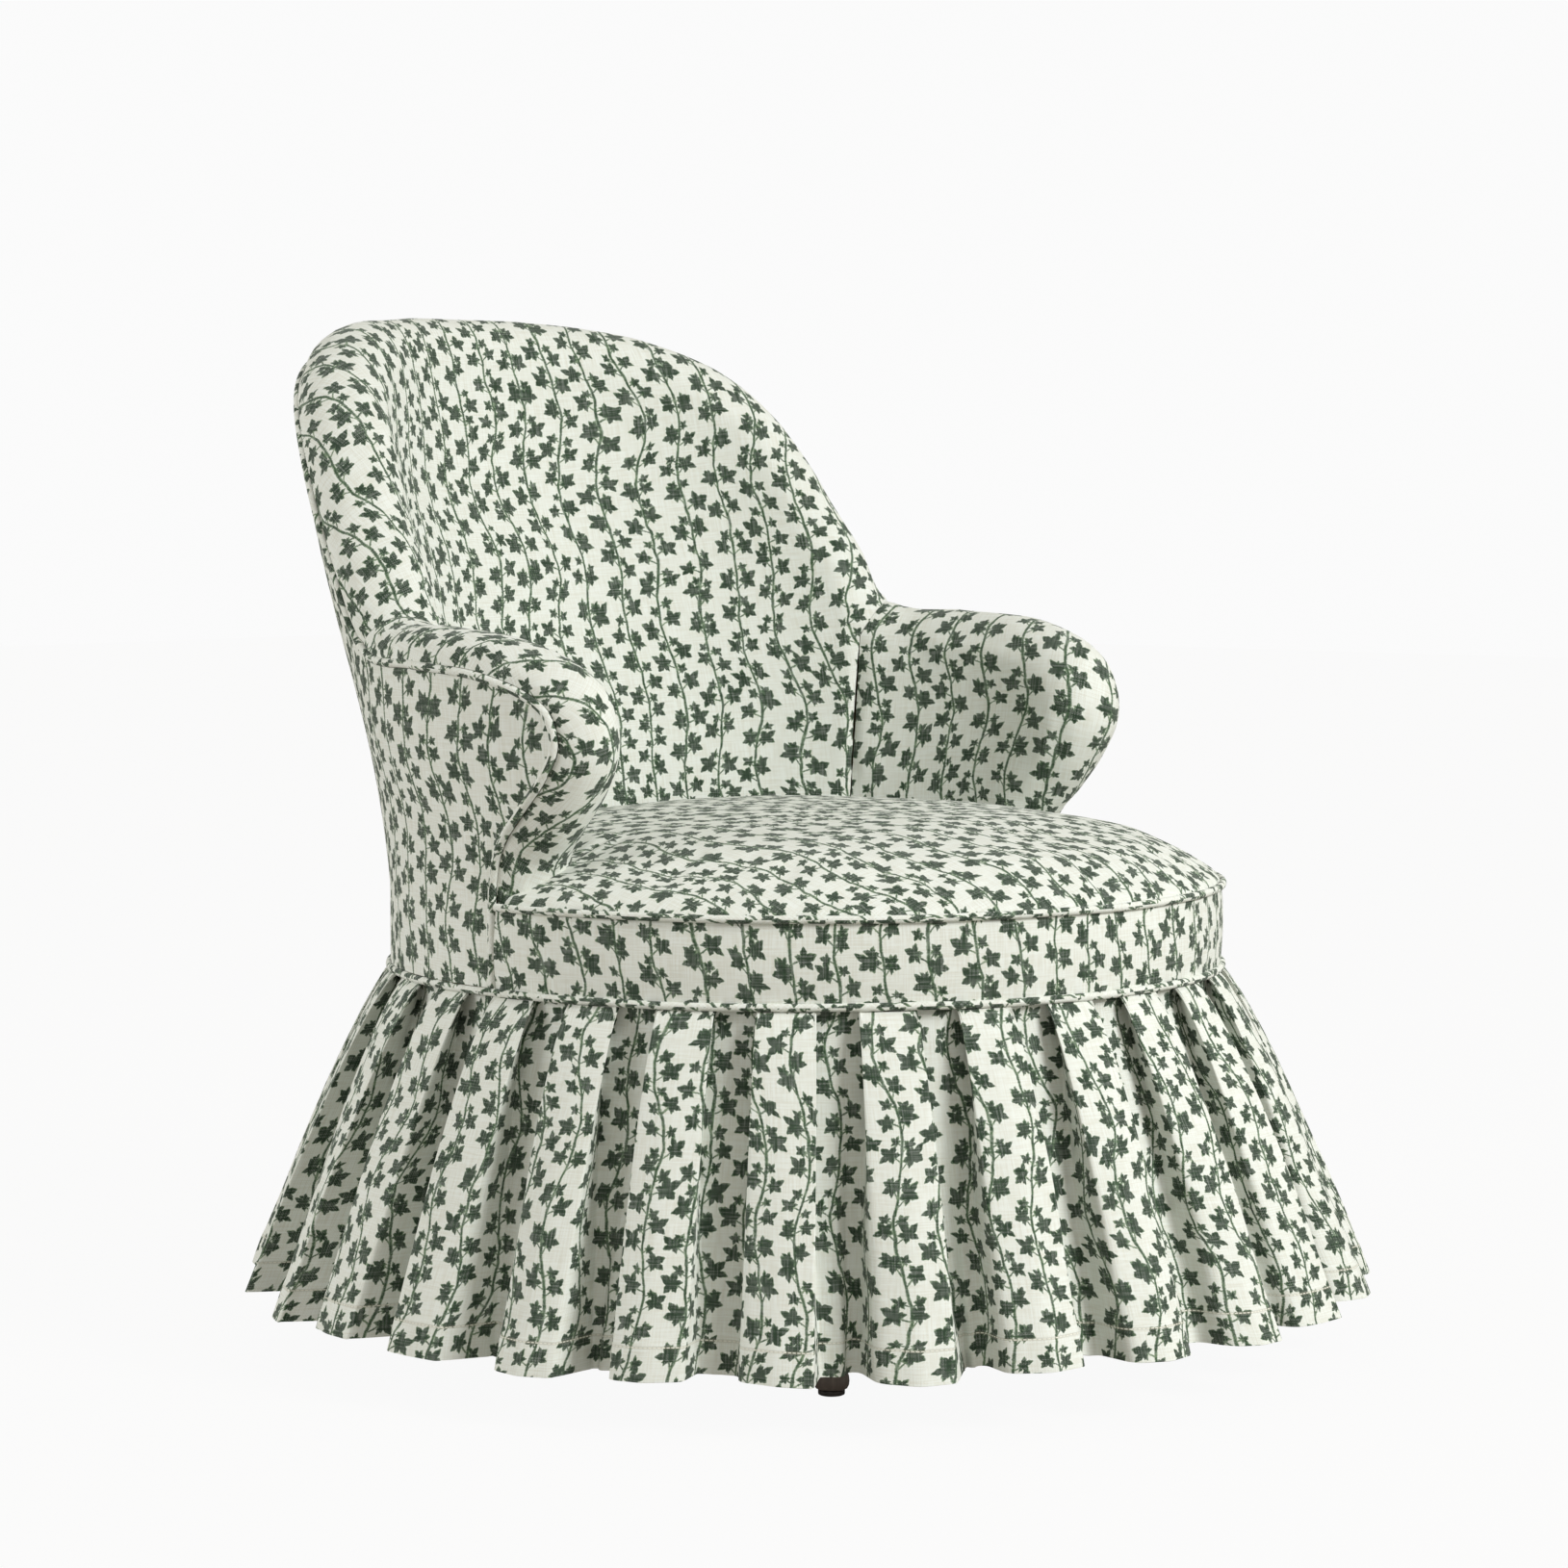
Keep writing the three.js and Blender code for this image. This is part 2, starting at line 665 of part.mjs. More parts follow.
const legNames = ["rear_left", "front_left", "front_right", "rear_right"];
legNames.forEach((place, i) => {
  const angle = legAngles[i];
  addPiece(`leg_glide_${place}`, rod(glideRadius, 0, glideHeight, angle, legRingRadius), nylon);
  addPiece(`leg_${place}`, leg(angle), stainedBeech);
  addPiece(`leg_plate_${place}`, legPlate(angle), steel);
  const bolt = rod(boltRadius, legTop - boltInLeg, ringBottom + boltInRing, angle, legRingRadius);
  addPiece(`leg_bolt_${place}`, bolt, steel);
  addPiece(`seat_rail_${place}`, cutRail(seatRail(i * quarter)), beech);
});
addPiece("dust_cover", dustCover(), blackCloth);

for (let i = 0; i < strapCount; i++) {
  addPiece(`webbing_across_${i + 1}`, strap(i, false), jute);
  addPiece(`webbing_along_${i + 1}`, strap(i, true), jute);
}
addPiece("platform_cloth", disc(platformRadius, platformBase, platformBase + platformThickness), hessian);

addPiece("back_hoop", backHoop(), beech);
addPiece("back_hessian", flatLayer(back, frameInset, hessianDepth, hessianThickness), hessian);
addPiece("back_foam", shellFoam(back), foam);
addPiece("inside_back_cover", insideCover(back), fabric);
addPair("back_post", backPost(), beech);
addPair("arm_post", armPost(), beech);
addPair("arm_rail", armRail(), beech);
addPair("arm_hessian", flatLayer(leftArm, frameInset, hessianDepth, hessianThickness), hessian);
addPair("arm_foam", shellFoam(leftArm), foam);
addPair("inside_arm_cover", insideCover(leftArm), fabric);
const paddingDepth = coverThickness + clearance;
addPiece("outside_padding", flatLayer(wholeShell, frameInset, paddingDepth, paddingThickness), wadding);
addPiece("outside_cover", outsideCover(), fabric);
addPiece("edge_welt", edgeWelt(), fabric);

addPiece("seat_foam", seatFoam(), foam);
addPiece("seat_top_cover", seatTopCover(), fabric);
addPiece("seat_welt", seatWelt(), fabric);
const bandPadding = ringBand(ringOuterRadius + clearance, bandPaddingRadius, coverFoot, shellFoot - clearance);
addPiece("band_padding", bandPadding, wadding);
addPiece("seat_band_cover", seatBandCover(), fabric);

const skirtWelt = new THREE.TorusGeometry(seatRadius, weltRadius, cordSides, turns);
addPiece("skirt_welt", skirtWelt.translate(0, 0, skirtWeltHeight), fabric);
const tackStripRadius = ringOuterRadius + clearance + tackStripThickness;
const tackStripFoot = skirtTop - tackStripWidth;
const tackStrip = ringBand(ringOuterRadius + clearance, tackStripRadius, tackStripFoot, skirtTop);
addPiece("skirt_tack_strip", tackStrip, board);
addPiece("skirt", skirt(), fabric);

export default chair;
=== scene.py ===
# A skirted slipper chair: its covers, cushion, skirt and legs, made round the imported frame.
# Metres, +Z up, the chair faces -Y. Angles are measured at the seat's axis from the rear middle, towards +X.
import math
from contextlib import contextmanager

import bmesh
import bpy
import numpy as np
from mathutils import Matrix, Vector, noise


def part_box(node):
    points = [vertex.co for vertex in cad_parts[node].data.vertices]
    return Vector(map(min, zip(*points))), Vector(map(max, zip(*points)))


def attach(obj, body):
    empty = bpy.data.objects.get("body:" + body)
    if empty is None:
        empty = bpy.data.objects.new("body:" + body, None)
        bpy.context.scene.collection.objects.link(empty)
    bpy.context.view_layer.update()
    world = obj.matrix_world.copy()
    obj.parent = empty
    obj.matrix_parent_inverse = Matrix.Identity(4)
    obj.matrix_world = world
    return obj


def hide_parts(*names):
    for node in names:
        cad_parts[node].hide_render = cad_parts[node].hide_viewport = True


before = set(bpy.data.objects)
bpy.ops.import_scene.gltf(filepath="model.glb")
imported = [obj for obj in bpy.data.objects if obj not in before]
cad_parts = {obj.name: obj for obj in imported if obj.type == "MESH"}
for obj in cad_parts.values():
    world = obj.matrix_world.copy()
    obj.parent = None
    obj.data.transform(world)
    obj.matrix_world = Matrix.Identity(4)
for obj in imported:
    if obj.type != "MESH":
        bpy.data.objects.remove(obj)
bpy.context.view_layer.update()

MM = 0.001
TURN = 2 * math.pi

# Sizes of the shell and the seat. The crown stands a few millimetres fuller than the frame's.
BACK_HEIGHT = 811 * MM
ARM_HEIGHT = 565 * MM
SEAT_RADIUS = 330 * MM
SEAT_WELT_HEIGHT = 358 * MM
SKIRT_WELT_HEIGHT = 294 * MM
HEM_RADIUS = 441 * MM
HEM_HEIGHT = 42 * MM
SHELL_FOOT = 349.4 * MM
ROLL_RADIUS = 35 * MM
BACK_LEAN = 90 * MM
UPPER_SPREAD = 10 * MM
SIDE_SWELL = 10 * MM
LEAN_POWER = 1.15
SPREAD_END = 0.67
ARM_FOOT_ANGLE = math.radians(90.8)
ARM_NOSE_ANGLE = math.radians(103.3)
ARM_BACK_ANGLE = math.radians(61.5)
SEAM_FOOT_ANGLE = math.radians(57)
ARM_INNER_FOOT_ANGLE = math.radians(76)
WELT_RADIUS = 3 * MM
WELT_INSET = 28.5 * MM
WELT_SINK = 0.3 * MM
CLEARANCE = 0.3 * MM
COVER_FOOT = SKIRT_WELT_HEIGHT + WELT_RADIUS + CLEARANCE
SKIRT_TOP = SKIRT_WELT_HEIGHT - WELT_RADIUS - CLEARANCE
RIM_HEIGHT = SEAT_WELT_HEIGHT + WELT_RADIUS + CLEARANCE
SEAT_CROWN = 50 * MM
SEAT_REAR_RADIUS = 258.8 * MM
FRAME_INSET = 30 * MM
FRAME_DEPTH = 8.3 * MM
HESSIAN_DEPTH = 27.6 * MM
FOAM_DEPTH = 29.4 * MM

# The shell's edge, as shares of the way round and up: the arm's nose, the arm's top and the slope of the back
NOSE_SHARES = [
    (0, 0), (0.03, 0.09), (0.13, 0.185), (0.38, 0.28), (0.72, 0.41), (0.95, 0.55), (0.97, 0.67), (0.8, 0.8),
    (0.43, 0.893),
]
ARM_TOP_SHARES = [(0.6, 0.972), (0.3, 0.998), (0, 1.03)]
SLOPE_SHARES = [
    (0.93, 0.2), (0.865, 0.35), (0.79, 0.535), (0.7, 0.71), (0.58, 0.85), (0.42, 0.95), (0.22, 0.99),
]
TANGENT_STEP = 1e-4


def lerp(a, b, share):
    return a + (b - a) * share


def smoothstep(x, low=0.0, high=1.0):
    share = np.clip((np.asarray(x, float) - low) / (high - low), 0, 1)
    return share * share * (3 - 2 * share)


def hump(x, middle, width):
    """One in the middle, and fading on both sides."""
    return np.exp(-(((x - middle) / width) ** 2))


def shares(count):
    """Evenly spaced numbers from zero to one."""
    return np.linspace(0, 1, count)


def round_angles(count):
    """Angles all the way round, without the first one again at the end."""
    return np.linspace(0, TURN, count + 1)[:-1]


def lengths(vectors):
    return np.linalg.norm(vectors, axis=-1, keepdims=True)


def run_along(points, axis=0):
    """How far each point of a path or a grid is from the first one."""
    run = np.cumsum(np.linalg.norm(np.diff(points, axis=axis), axis=-1), axis=axis)
    return np.concatenate([0 * run.take([0], axis), run], axis)


def at_height(points, height):
    return points * [1, 1, 0] + [0, 0, height]


# Shell surface

def outer_radius(angle, height):
    rise = np.clip((height - SEAT_WELT_HEIGHT) / (BACK_HEIGHT - SEAT_WELT_HEIGHT), 0, 1)
    lean = BACK_LEAN * smoothstep(rise**LEAN_POWER)
    radius = SEAT_RADIUS + UPPER_SPREAD * smoothstep(rise, 0, SPREAD_END)
    radius = radius + SIDE_SWELL * np.sin(np.pi * rise)
    return lean * np.cos(angle) + np.sqrt(radius**2 - (lean * np.sin(angle)) ** 2)


def edge_points():
    """Points of the edge in sheet coordinates: arc at the seat's radius, and height."""
    left = [
        (lerp(start, ARM_NOSE_ANGLE, across), lerp(SHELL_FOOT, ARM_HEIGHT, up))
        for start, marks in ((ARM_FOOT_ANGLE, NOSE_SHARES), (ARM_BACK_ANGLE, ARM_TOP_SHARES))
        for across, up in marks
    ]
    left += [(across * ARM_BACK_ANGLE, lerp(ARM_HEIGHT, BACK_HEIGHT, up)) for across, up in SLOPE_SHARES]
    right = [(-angle, height) for angle, height in reversed(left)]
    return np.array([(angle * SEAT_RADIUS, height) for angle, height in left + [(0, BACK_HEIGHT)] + right])


EDGE = edge_points()
SEAM_AT = (len(NOSE_SHARES) + len(ARM_TOP_SHARES) - 1) / (len(EDGE) - 1)


def edge_point(t):
    """A centripetal spline through the edge's points, for a share of the way along them."""
    t = np.clip(np.asarray(t, float), 0, 1) * (len(EDGE) - 1)
    first = np.minimum(t.astype(int), len(EDGE) - 2)
    share = (t - first)[..., None]
    padded = np.vstack([2 * EDGE[0] - EDGE[1], EDGE, 2 * EDGE[-1] - EDGE[-2]])
    p0, p1, p2, p3 = (padded[first + i] for i in range(4))
    step = [np.sqrt(lengths(b - a)) for a, b in ((p0, p1), (p1, p2), (p2, p3))]
    start = ((p1 - p0) / step[0] - (p2 - p0) / (step[0] + step[1])) * step[1] + p2 - p1
    end = p2 - p1 + ((p3 - p2) / step[2] - (p3 - p1) / (step[1] + step[2])) * step[1]
    bend = 3 * (p2 - p1) - 2 * start - end
    return p1 + share * (start + share * (bend + share * (2 * (p1 - p2) + start + end)))


def edge_tangent(t):
    along = edge_point(np.asarray(t) + TANGENT_STEP) - edge_point(np.asarray(t) - TANGENT_STEP)
    return along / lengths(along)


def foot_angle(t):
    t = np.asarray(t, float)
    side = np.minimum(t, 1 - t) / SEAM_AT
    arm = lerp(ARM_INNER_FOOT_ANGLE, SEAM_FOOT_ANGLE, side) * np.where(t < 0.5, 1, -1)
    back = SEAM_FOOT_ANGLE * (1 - 2 * (t - SEAM_AT) / (1 - 2 * SEAM_AT))
    return np.where(side <= 1, arm, back)


def shell_sheet(t, inset, fall):
    """Angle and height of a place inside the edge, a share of the way down to the foot."""
    place = edge_point(t)
    tangent = edge_tangent(t)
    angle = (place[..., 0] - tangent[..., 1] * inset) / SEAT_RADIUS
    height = place[..., 1] + tangent[..., 0] * inset
    return lerp(angle, foot_angle(t), fall), lerp(height, SHELL_FOOT, fall)


def at_angle(angle, height, radius):
    angle, height, radius = np.broadcast_arrays(angle, height, radius)
    return np.stack([radius * np.sin(angle), radius * np.cos(angle), height], axis=-1)


def shell_point(t, inset, fall, depth):
    angle, height = shell_sheet(t, inset, fall)
    return at_angle(angle, height, outer_radius(angle, height) - depth)


# Meshes
SEED_STEPS = (7.3, 3.1, 5.7)
JOIN_REACH = 0.02 * MM
DOUBLE_REACH = 0.001 * MM
COVER_SHARP_ANGLE = 50
SLAB_SHARP_ANGLE = 40
WELT_SHARP_ANGLE = 60
TURNED_SHARP_ANGLE = 32
UNWRAP_STEPS = 10


def grid_quads(columns, rows, closed=False):
    """Corners of each face of a grid, as (column, row) pairs in a loop."""
    last = columns if closed else columns - 1
    return [((i, j), (i + 1, j), (i + 1, j + 1), (i, j + 1)) for i in range(last) for j in range(rows - 1)]


def grid_normals(points, closed=False):
    """Unit normals of a grid of points, along columns times along rows."""
    if closed:
        along = np.roll(points, -1, axis=0) - np.roll(points, 1, axis=0)
    else:
        along = np.gradient(points, axis=0)
    down = np.gradient(points, axis=1)
    normals = np.cross(along, down)
    return normals / np.maximum(lengths(normals), 1e-12)


def pushed(points, offset, closed=False):
    """The points of a grid, moved out along its normals."""
    return points + grid_normals(points, closed) * offset[..., None]


def add_object(name, data):
    obj = bpy.data.objects.new(name, data)
    bpy.context.scene.collection.objects.link(obj)
    return obj


def mesh_object(name, vertices, faces, loop_uvs=None, material=None):
    mesh = bpy.data.meshes.new(name)
    mesh.from_pydata(np.asarray(vertices, float).reshape(-1, 3).tolist(), [], faces)
    if loop_uvs is not None:
        layer = mesh.uv_layers.new(name="cloth")
        layer.data.foreach_set("uv", np.asarray(loop_uvs, np.float32).ravel())
    if material:
        mesh.materials.append(material)
    return add_object(name, mesh)


@contextmanager
def editing(obj):
    """A mesh while it is changed, written back at the end."""
    shape = bmesh.new()
    shape.from_mesh(obj.data)
    yield shape
    shape.to_mesh(obj.data)
    shape.free()


def grid_surface(name, grids, material, polar=False):
    """One open surface from grids of (points, uv, closed). A closed grid's uv has one more column."""
    vertices, faces, uvs = [], [], []
    for points, uv, closed in grids:
        columns, rows = points.shape[:2]
        start = len(vertices)
        vertices += points.reshape(-1, 3).tolist()
        for quad in grid_quads(columns, rows, closed):
            if polar and quad[0][1] == 0:
                quad = quad[1:]
            faces.append([start + (i % columns) * rows + j for i, j in quad])
            uvs += [uv[i, j] for i, j in quad]
    obj = mesh_object(name, vertices, faces, uvs, material)
    if len(grids) > 1 or polar:
        with editing(obj) as shape:
            bmesh.ops.remove_doubles(shape, verts=shape.verts, dist=JOIN_REACH)
    return obj


def apply_modifiers(obj):
    bpy.context.view_layer.update()
    made = bpy.data.meshes.new_from_object(obj.evaluated_get(bpy.context.evaluated_depsgraph_get()))
    obj.modifiers.clear()
    old, obj.data = obj.data, made
    bpy.data.meshes.remove(old)
    made.name = obj.name


def finished(obj, thickness, sharp_angle=COVER_SHARP_ANGLE):
    """Gives an open surface its thickness, inwards, and marks its sharp edges."""
    solid = obj.modifiers.new("thickness", "SOLIDIFY")
    solid.thickness = thickness
    solid.offset = -1
    apply_modifiers(obj)
    smooth_with_sharp_edges(obj, sharp_angle)
    return obj


def smooth_with_sharp_edges(obj, sharp_angle):
    limit = math.radians(sharp_angle)
    with editing(obj) as shape:
        for face in shape.faces:
            face.smooth = True
        for edge in shape.edges:
            edge.smooth = len(edge.link_faces) == 2 and edge.calc_face_angle() < limit


def slab_object(name, front, back, material, closed=False):
    """A closed solid between two matching grids."""
    columns, rows = front.shape[:2]

    def corner(side, i, j):
        return (side * columns + i % columns) * rows + j

    faces = []
    for quad in grid_quads(columns, rows, closed):
        faces.append([corner(0, i, j) for i, j in quad])
        faces.append([corner(1, i, j) for i, j in reversed(quad)])
    rims = []
    for i in range(columns if closed else columns - 1):
        rims += [((i + 1, 0), (i, 0)), ((i, rows - 1), (i + 1, rows - 1))]
    if not closed:
        for j in range(rows - 1):
            rims += [((0, j), (0, j + 1)), ((columns - 1, j + 1), (columns - 1, j))]
    faces += [[corner(0, *a), corner(0, *b), corner(1, *b), corner(1, *a)] for a, b in rims]
    obj = mesh_object(name, np.stack([front, back]), faces, material=material)
    outward_faces(obj)
    smooth_with_sharp_edges(obj, SLAB_SHARP_ANGLE)
    return obj


def outward_faces(obj):
    with editing(obj) as shape:
        bmesh.ops.remove_doubles(shape, verts=shape.verts, dist=DOUBLE_REACH)
        if shape.calc_volume(signed=True) < 0:
            bmesh.ops.reverse_faces(shape, faces=shape.faces)


def tube_surface(path, radius, sides, closed=False):
    """Grid of points round a path, and its uv: round the tube, along the path."""
    if closed:
        path = np.vstack([path, path[:1]])
    length = run_along(path)
    along = np.gradient(path, axis=0)
    if closed:
        along[0] = along[-1] = path[1] - path[-2]
    along /= lengths(along)
    out = path * [1, 1, 0]
    out -= along * (out * along).sum(axis=1, keepdims=True)
    out /= lengths(out)
    side = np.cross(along, out)
    turn = np.linspace(0, TURN, sides + 1)
    ring = np.cos(turn)[:-1, None, None] * out + np.sin(turn)[:-1, None, None] * side
    uv = np.stack(np.meshgrid(turn * radius, length, indexing="ij"), axis=-1)
    return path + radius * ring, uv


def softness(points, size, height, seed):
    """Slow waves of a hand-laid cloth: an offset for each point."""
    shift = Vector([seed * step for step in SEED_STEPS])
    flat = points.reshape(-1, 3) / size
    waves = [noise.noise(Vector(p) + shift) for p in flat.tolist()]
    return height * np.array(waves).reshape(points.shape[:-1])


def grid_area(points):
    """Area of a grid of points, flat or in space."""
    a = points[1:, 1:] - points[:-1, :-1]
    b = points[1:, :-1] - points[:-1, 1:]
    square = (a * a).sum(axis=-1) * (b * b).sum(axis=-1) - (a * b).sum(axis=-1) ** 2
    return np.sqrt(np.maximum(square, 0)).sum() / 2


def laid_over(flat, scale, guess):
    """A flat cut at its true size, turned and placed as its first guess lies."""
    middle = guess.mean(axis=(0, 1))
    flat = (flat - flat.mean(axis=(0, 1))) * scale
    left, _, right = np.linalg.svd(flat.reshape(-1, 2).T @ (guess - middle).reshape(-1, 2))
    return flat @ (left @ right) + middle


def unwrapped(points, guess):
    """The uv of a curved cover, as cut from flat cloth with the least stretch."""
    rows = points.shape[1]
    faces = [[i * rows + j for i, j in quad] for quad in grid_quads(*points.shape[:2])]
    corners = np.ravel(faces)
    obj = mesh_object("unwrapping", points, faces, np.zeros((len(corners), 2)))
    bpy.ops.object.select_all(action="DESELECT")
    bpy.context.view_layer.objects.active = obj
    obj.select_set(True)
    bpy.ops.object.mode_set(mode="EDIT")
    bpy.ops.mesh.select_all(action="SELECT")
    bpy.ops.uv.unwrap(method="MINIMUM_STRETCH", iterations=UNWRAP_STEPS, margin=0)
    bpy.ops.object.mode_set(mode="OBJECT")
    uvs = np.zeros(2 * len(corners), np.float32)
    obj.data.uv_layers["cloth"].data.foreach_get("uv", uvs)
    flat = np.zeros((points.shape[0] * rows, 2))
    flat[corners] = uvs.reshape(-1, 2)
    flat = flat.reshape(guess.shape)
    bpy.data.objects.remove(obj)
    return laid_over(flat, math.sqrt(grid_area(points) / grid_area(flat)), guess)


# Materials

class Field:
    """An output of a shader node, which can be worked with like a number."""

    def __init__(self, graph, socket):
        self.graph = graph
        self.socket = socket

    def __add__(self, other):
        return self.graph.math("ADD", self, other)

    def __sub__(self, other):
        return self.graph.math("SUBTRACT", self, other)

    def __rsub__(self, other):
        return self.graph.math("SUBTRACT", other, self)

    def __mul__(self, other):
        return self.graph.math("MULTIPLY", self, other)

    def __truediv__(self, other):
        return self.graph.math("DIVIDE", self, other)

    def __abs__(self):
        return self.graph.math("ABSOLUTE", self)


class Graph:
    """Makes the shader nodes of one tree. A node's inputs are given in order or by name."""

    def __init__(self, tree):
        self.tree = tree

    def fill(self, node, inputs):
        pairs = inputs.items() if isinstance(inputs, dict) else enumerate(inputs)
        for key, value in pairs:
            if isinstance(value, Field):
                self.tree.links.new(value.socket, node.inputs[key])
            else:
                node.inputs[key].default_value = value
        return node

    def node(self, kind, inputs=(), **settings):
        made = self.tree.nodes.new(kind)
        for name, value in settings.items():
            setattr(made, name, value)
        return self.fill(made, inputs)

    def fields(self, kind, inputs=(), **settings):
        """All outputs of a new node."""
        return [Field(self, socket) for socket in self.node(kind, inputs, **settings).outputs]

    def field(self, kind, inputs=(), output=0, **settings):
        """One output of a new shader node, by its number or its name."""
        return Field(self, self.node("ShaderNode" + kind, inputs, **settings).outputs[output])

    def math(self, operation, *values):
        return self.field("Math", values, operation=operation)

    def sine(self, value):
        return self.math("SINE", value)

    def cosine(self, value):
        return self.math("COSINE", value)

    def vector(self, operation, *values):
        return self.field("VectorMath", values, operation=operation)

    def scale(self, vector, factor):
        return self.field("VectorMath", {0: vector, "Scale": factor}, operation="SCALE")

    def ramp(self, value, low, high, to_low=0.0, to_high=1.0):
        inputs = {"Value": value, "From Min": low, "From Max": high, "To Min": to_low, "To Max": to_high}
        return self.field("MapRange", inputs, interpolation_type="SMOOTHSTEP")

    def mix(self, factor, a, b):
        return self.field("Mix", {0: factor, 6: a, 7: b}, output=2, data_type="RGBA")

    def noise(self, place, scale, detail=2.0, roughness=0.5, output=0):
        inputs = dict(Vector=place, Scale=scale, Detail=detail, Roughness=roughness)
        return self.field("TexNoise", inputs, output)

    def split(self, vector):
        return self.fields("ShaderNodeSeparateXYZ", [vector])

    def join(self, *values):
        return self.field("CombineXYZ", values)

    def relief(self, shader, height, strength, distance):
        """Gives a surface its fine relief."""
        bump = self.field("Bump", dict(Strength=strength, Distance=distance, Height=height))
        self.fill(shader, {"Normal": bump})


def new_material(name):
    material = bpy.data.materials.new(name)
    material.use_nodes = True
    graph = Graph(material.node_tree)
    return material, graph, graph.tree.nodes["Principled BSDF"]


# Printed linen: trailing stems with lobed leaves on both sides
STEM_PITCH = 34 * MM
STEM_BEND = 128 * MM
STEM_SWAY = 5.5 * MM
STEM_WIDTH = 2.4 * MM
STALK_WIDTH = 1.2 * MM
STALK_START = 0.5 * MM
LEAF_PITCH = 28.5 * MM
BIG_LEAF = dict(reach=9.8 * MM, tilt=0.80, stalk=5.6 * MM, low=5 * MM)
SMALL_LEAF = dict(reach=5.8 * MM, tilt=0.95, stalk=3.4 * MM, low=3.5 * MM)
LEAF_CENTRE = 0.55
LOBES = 5.0
LOBE_DEPTH = 0.21
LEAF_POINT = 0.17
LEAF_WIDTH = 0.81
TEETH_DEPTH = 0.045
VEIN_WIDTH = (0.3 * MM, 1.1 * MM)
BLADE_EDGE = 1.6 * MM
FOLD_WIDTH = 1.5 * MM
FOLD_SHADE = 0.35
TURN_SPREAD = 0.75
SIZE_SPREAD = 0.3
LEVEL_SPREAD = 4.5 * MM
THREAD = 0.95 * MM
SLUB_SCALES = [(1000, 45, 1), (45, 1000, 1)]
CREAM = (0.78, 0.82, 0.77, 1)
CREAM_WARM = (0.685, 0.70, 0.62, 1)
INK_DARK = (0.013, 0.034, 0.015, 1)
INK_MID = (0.050, 0.105, 0.048, 1)
INK_PALE = (0.21, 0.29, 0.18, 1)
# Painted shade: the darker colour laid into the dip along the hem's stitch line
HEM_DIP_PAINTED_SHADE = (0.36, 0.35, 0.27, 1)
STITCH_THREAD = (0.80, 0.80, 0.70, 1)
HEM_LINE = 25 * MM
STITCH = 3.4 * MM
STITCH_WIDTH = (0.25 * MM, 0.45 * MM)
STITCH_LENGTH = (1.0 * MM, 1.3 * MM)
STITCH_DIP = (0.3 * MM, 1.6 * MM)
WARPS = [(9, 30 * MM), (55, 5 * MM)]
ROUGH_EDGE = 1.5 * MM
THREAD_EDGE = 0.12 * MM
INK_EDGE = 0.3 * MM
INK_DEPTH = 2.6 * MM
LINEN_RELIEF = (0.4, 0.25 * MM)
LINEN_SURFACE = {
    "Roughness": 0.8, "Specular IOR Level": 0.3, "Sheen Weight": 0.08, "Sheen Roughness": 0.6,
}


def group_graph(name, inputs):
    """A node group that gives Ink and Detail, its graph and its inputs."""
    tree = bpy.data.node_groups.new(name, "ShaderNodeTree")
    for socket, kind in inputs.items():
        tree.interface.new_socket(name=socket, in_out="INPUT", socket_type="NodeSocket" + kind)
    for socket in ("Ink", "Detail"):
        tree.interface.new_socket(name=socket, in_out="OUTPUT", socket_type="NodeSocketFloat")
    graph = Graph(tree)
    return tree, graph, graph.fields("NodeGroupInput")[:len(inputs)]


def leaf_group(name, leaf):
    """A row of lobed leaves up one side of a stem, each with its own turn and size."""
    tree, graph, (side, height, row) = group_graph(name, dict(Out="Float", Up="Float", Row="Float"))
    level = height / LEAF_PITCH
    index = graph.math("FLOOR", level)
    place = graph.join(row, index)
    chances = graph.field("TexWhiteNoise", dict(Vector=place), "Color", noise_dimensions="2D")
    turn_chance, size_chance, level_chance = graph.split(chances)
    up = (level - index) * LEAF_PITCH - leaf["low"] - level_chance * LEVEL_SPREAD
    turn = turn_chance * TURN_SPREAD + (leaf["tilt"] - TURN_SPREAD / 2)
    reach = size_chance * (SIZE_SPREAD * leaf["reach"]) + (1 - SIZE_SPREAD / 2) * leaf["reach"]
    along = side * graph.sine(turn) + up * graph.cosine(turn)
    across = side * graph.cosine(turn) - up * graph.sine(turn)
    centre = reach * LEAF_CENTRE + leaf["stalk"]
    beyond = along - centre
    angle = graph.math("ARCTAN2", across, beyond)
    away = graph.math("SQRT", beyond * beyond + across * across)
    lobes = graph.cosine(angle * LOBES) * LOBE_DEPTH + (1 - LOBE_DEPTH)
    lobes = lobes * (graph.cosine(angle) * LEAF_POINT + LEAF_WIDTH)
    lobes = lobes + graph.cosine(angle * (3 * LOBES)) * TEETH_DEPTH
    blade = lobes * reach - away
    stalk = graph.math("MINIMUM", along + STALK_START, centre - along)
    stalk = graph.math("MINIMUM", STALK_WIDTH / 2 - abs(across), stalk)
    vein = graph.ramp(abs(graph.sine(angle * (LOBES / 2))) * away, *VEIN_WIDTH, 1.0, 0.0)
    shaded = graph.ramp(across, -FOLD_WIDTH, FOLD_WIDTH)
    detail = graph.ramp(blade, 0.0, BLADE_EDGE) * (vein - shaded * FOLD_SHADE)
    ink = graph.math("MAXIMUM", blade, stalk)
    graph.node("NodeGroupOutput", dict(Ink=ink, Detail=detail))
    return tree


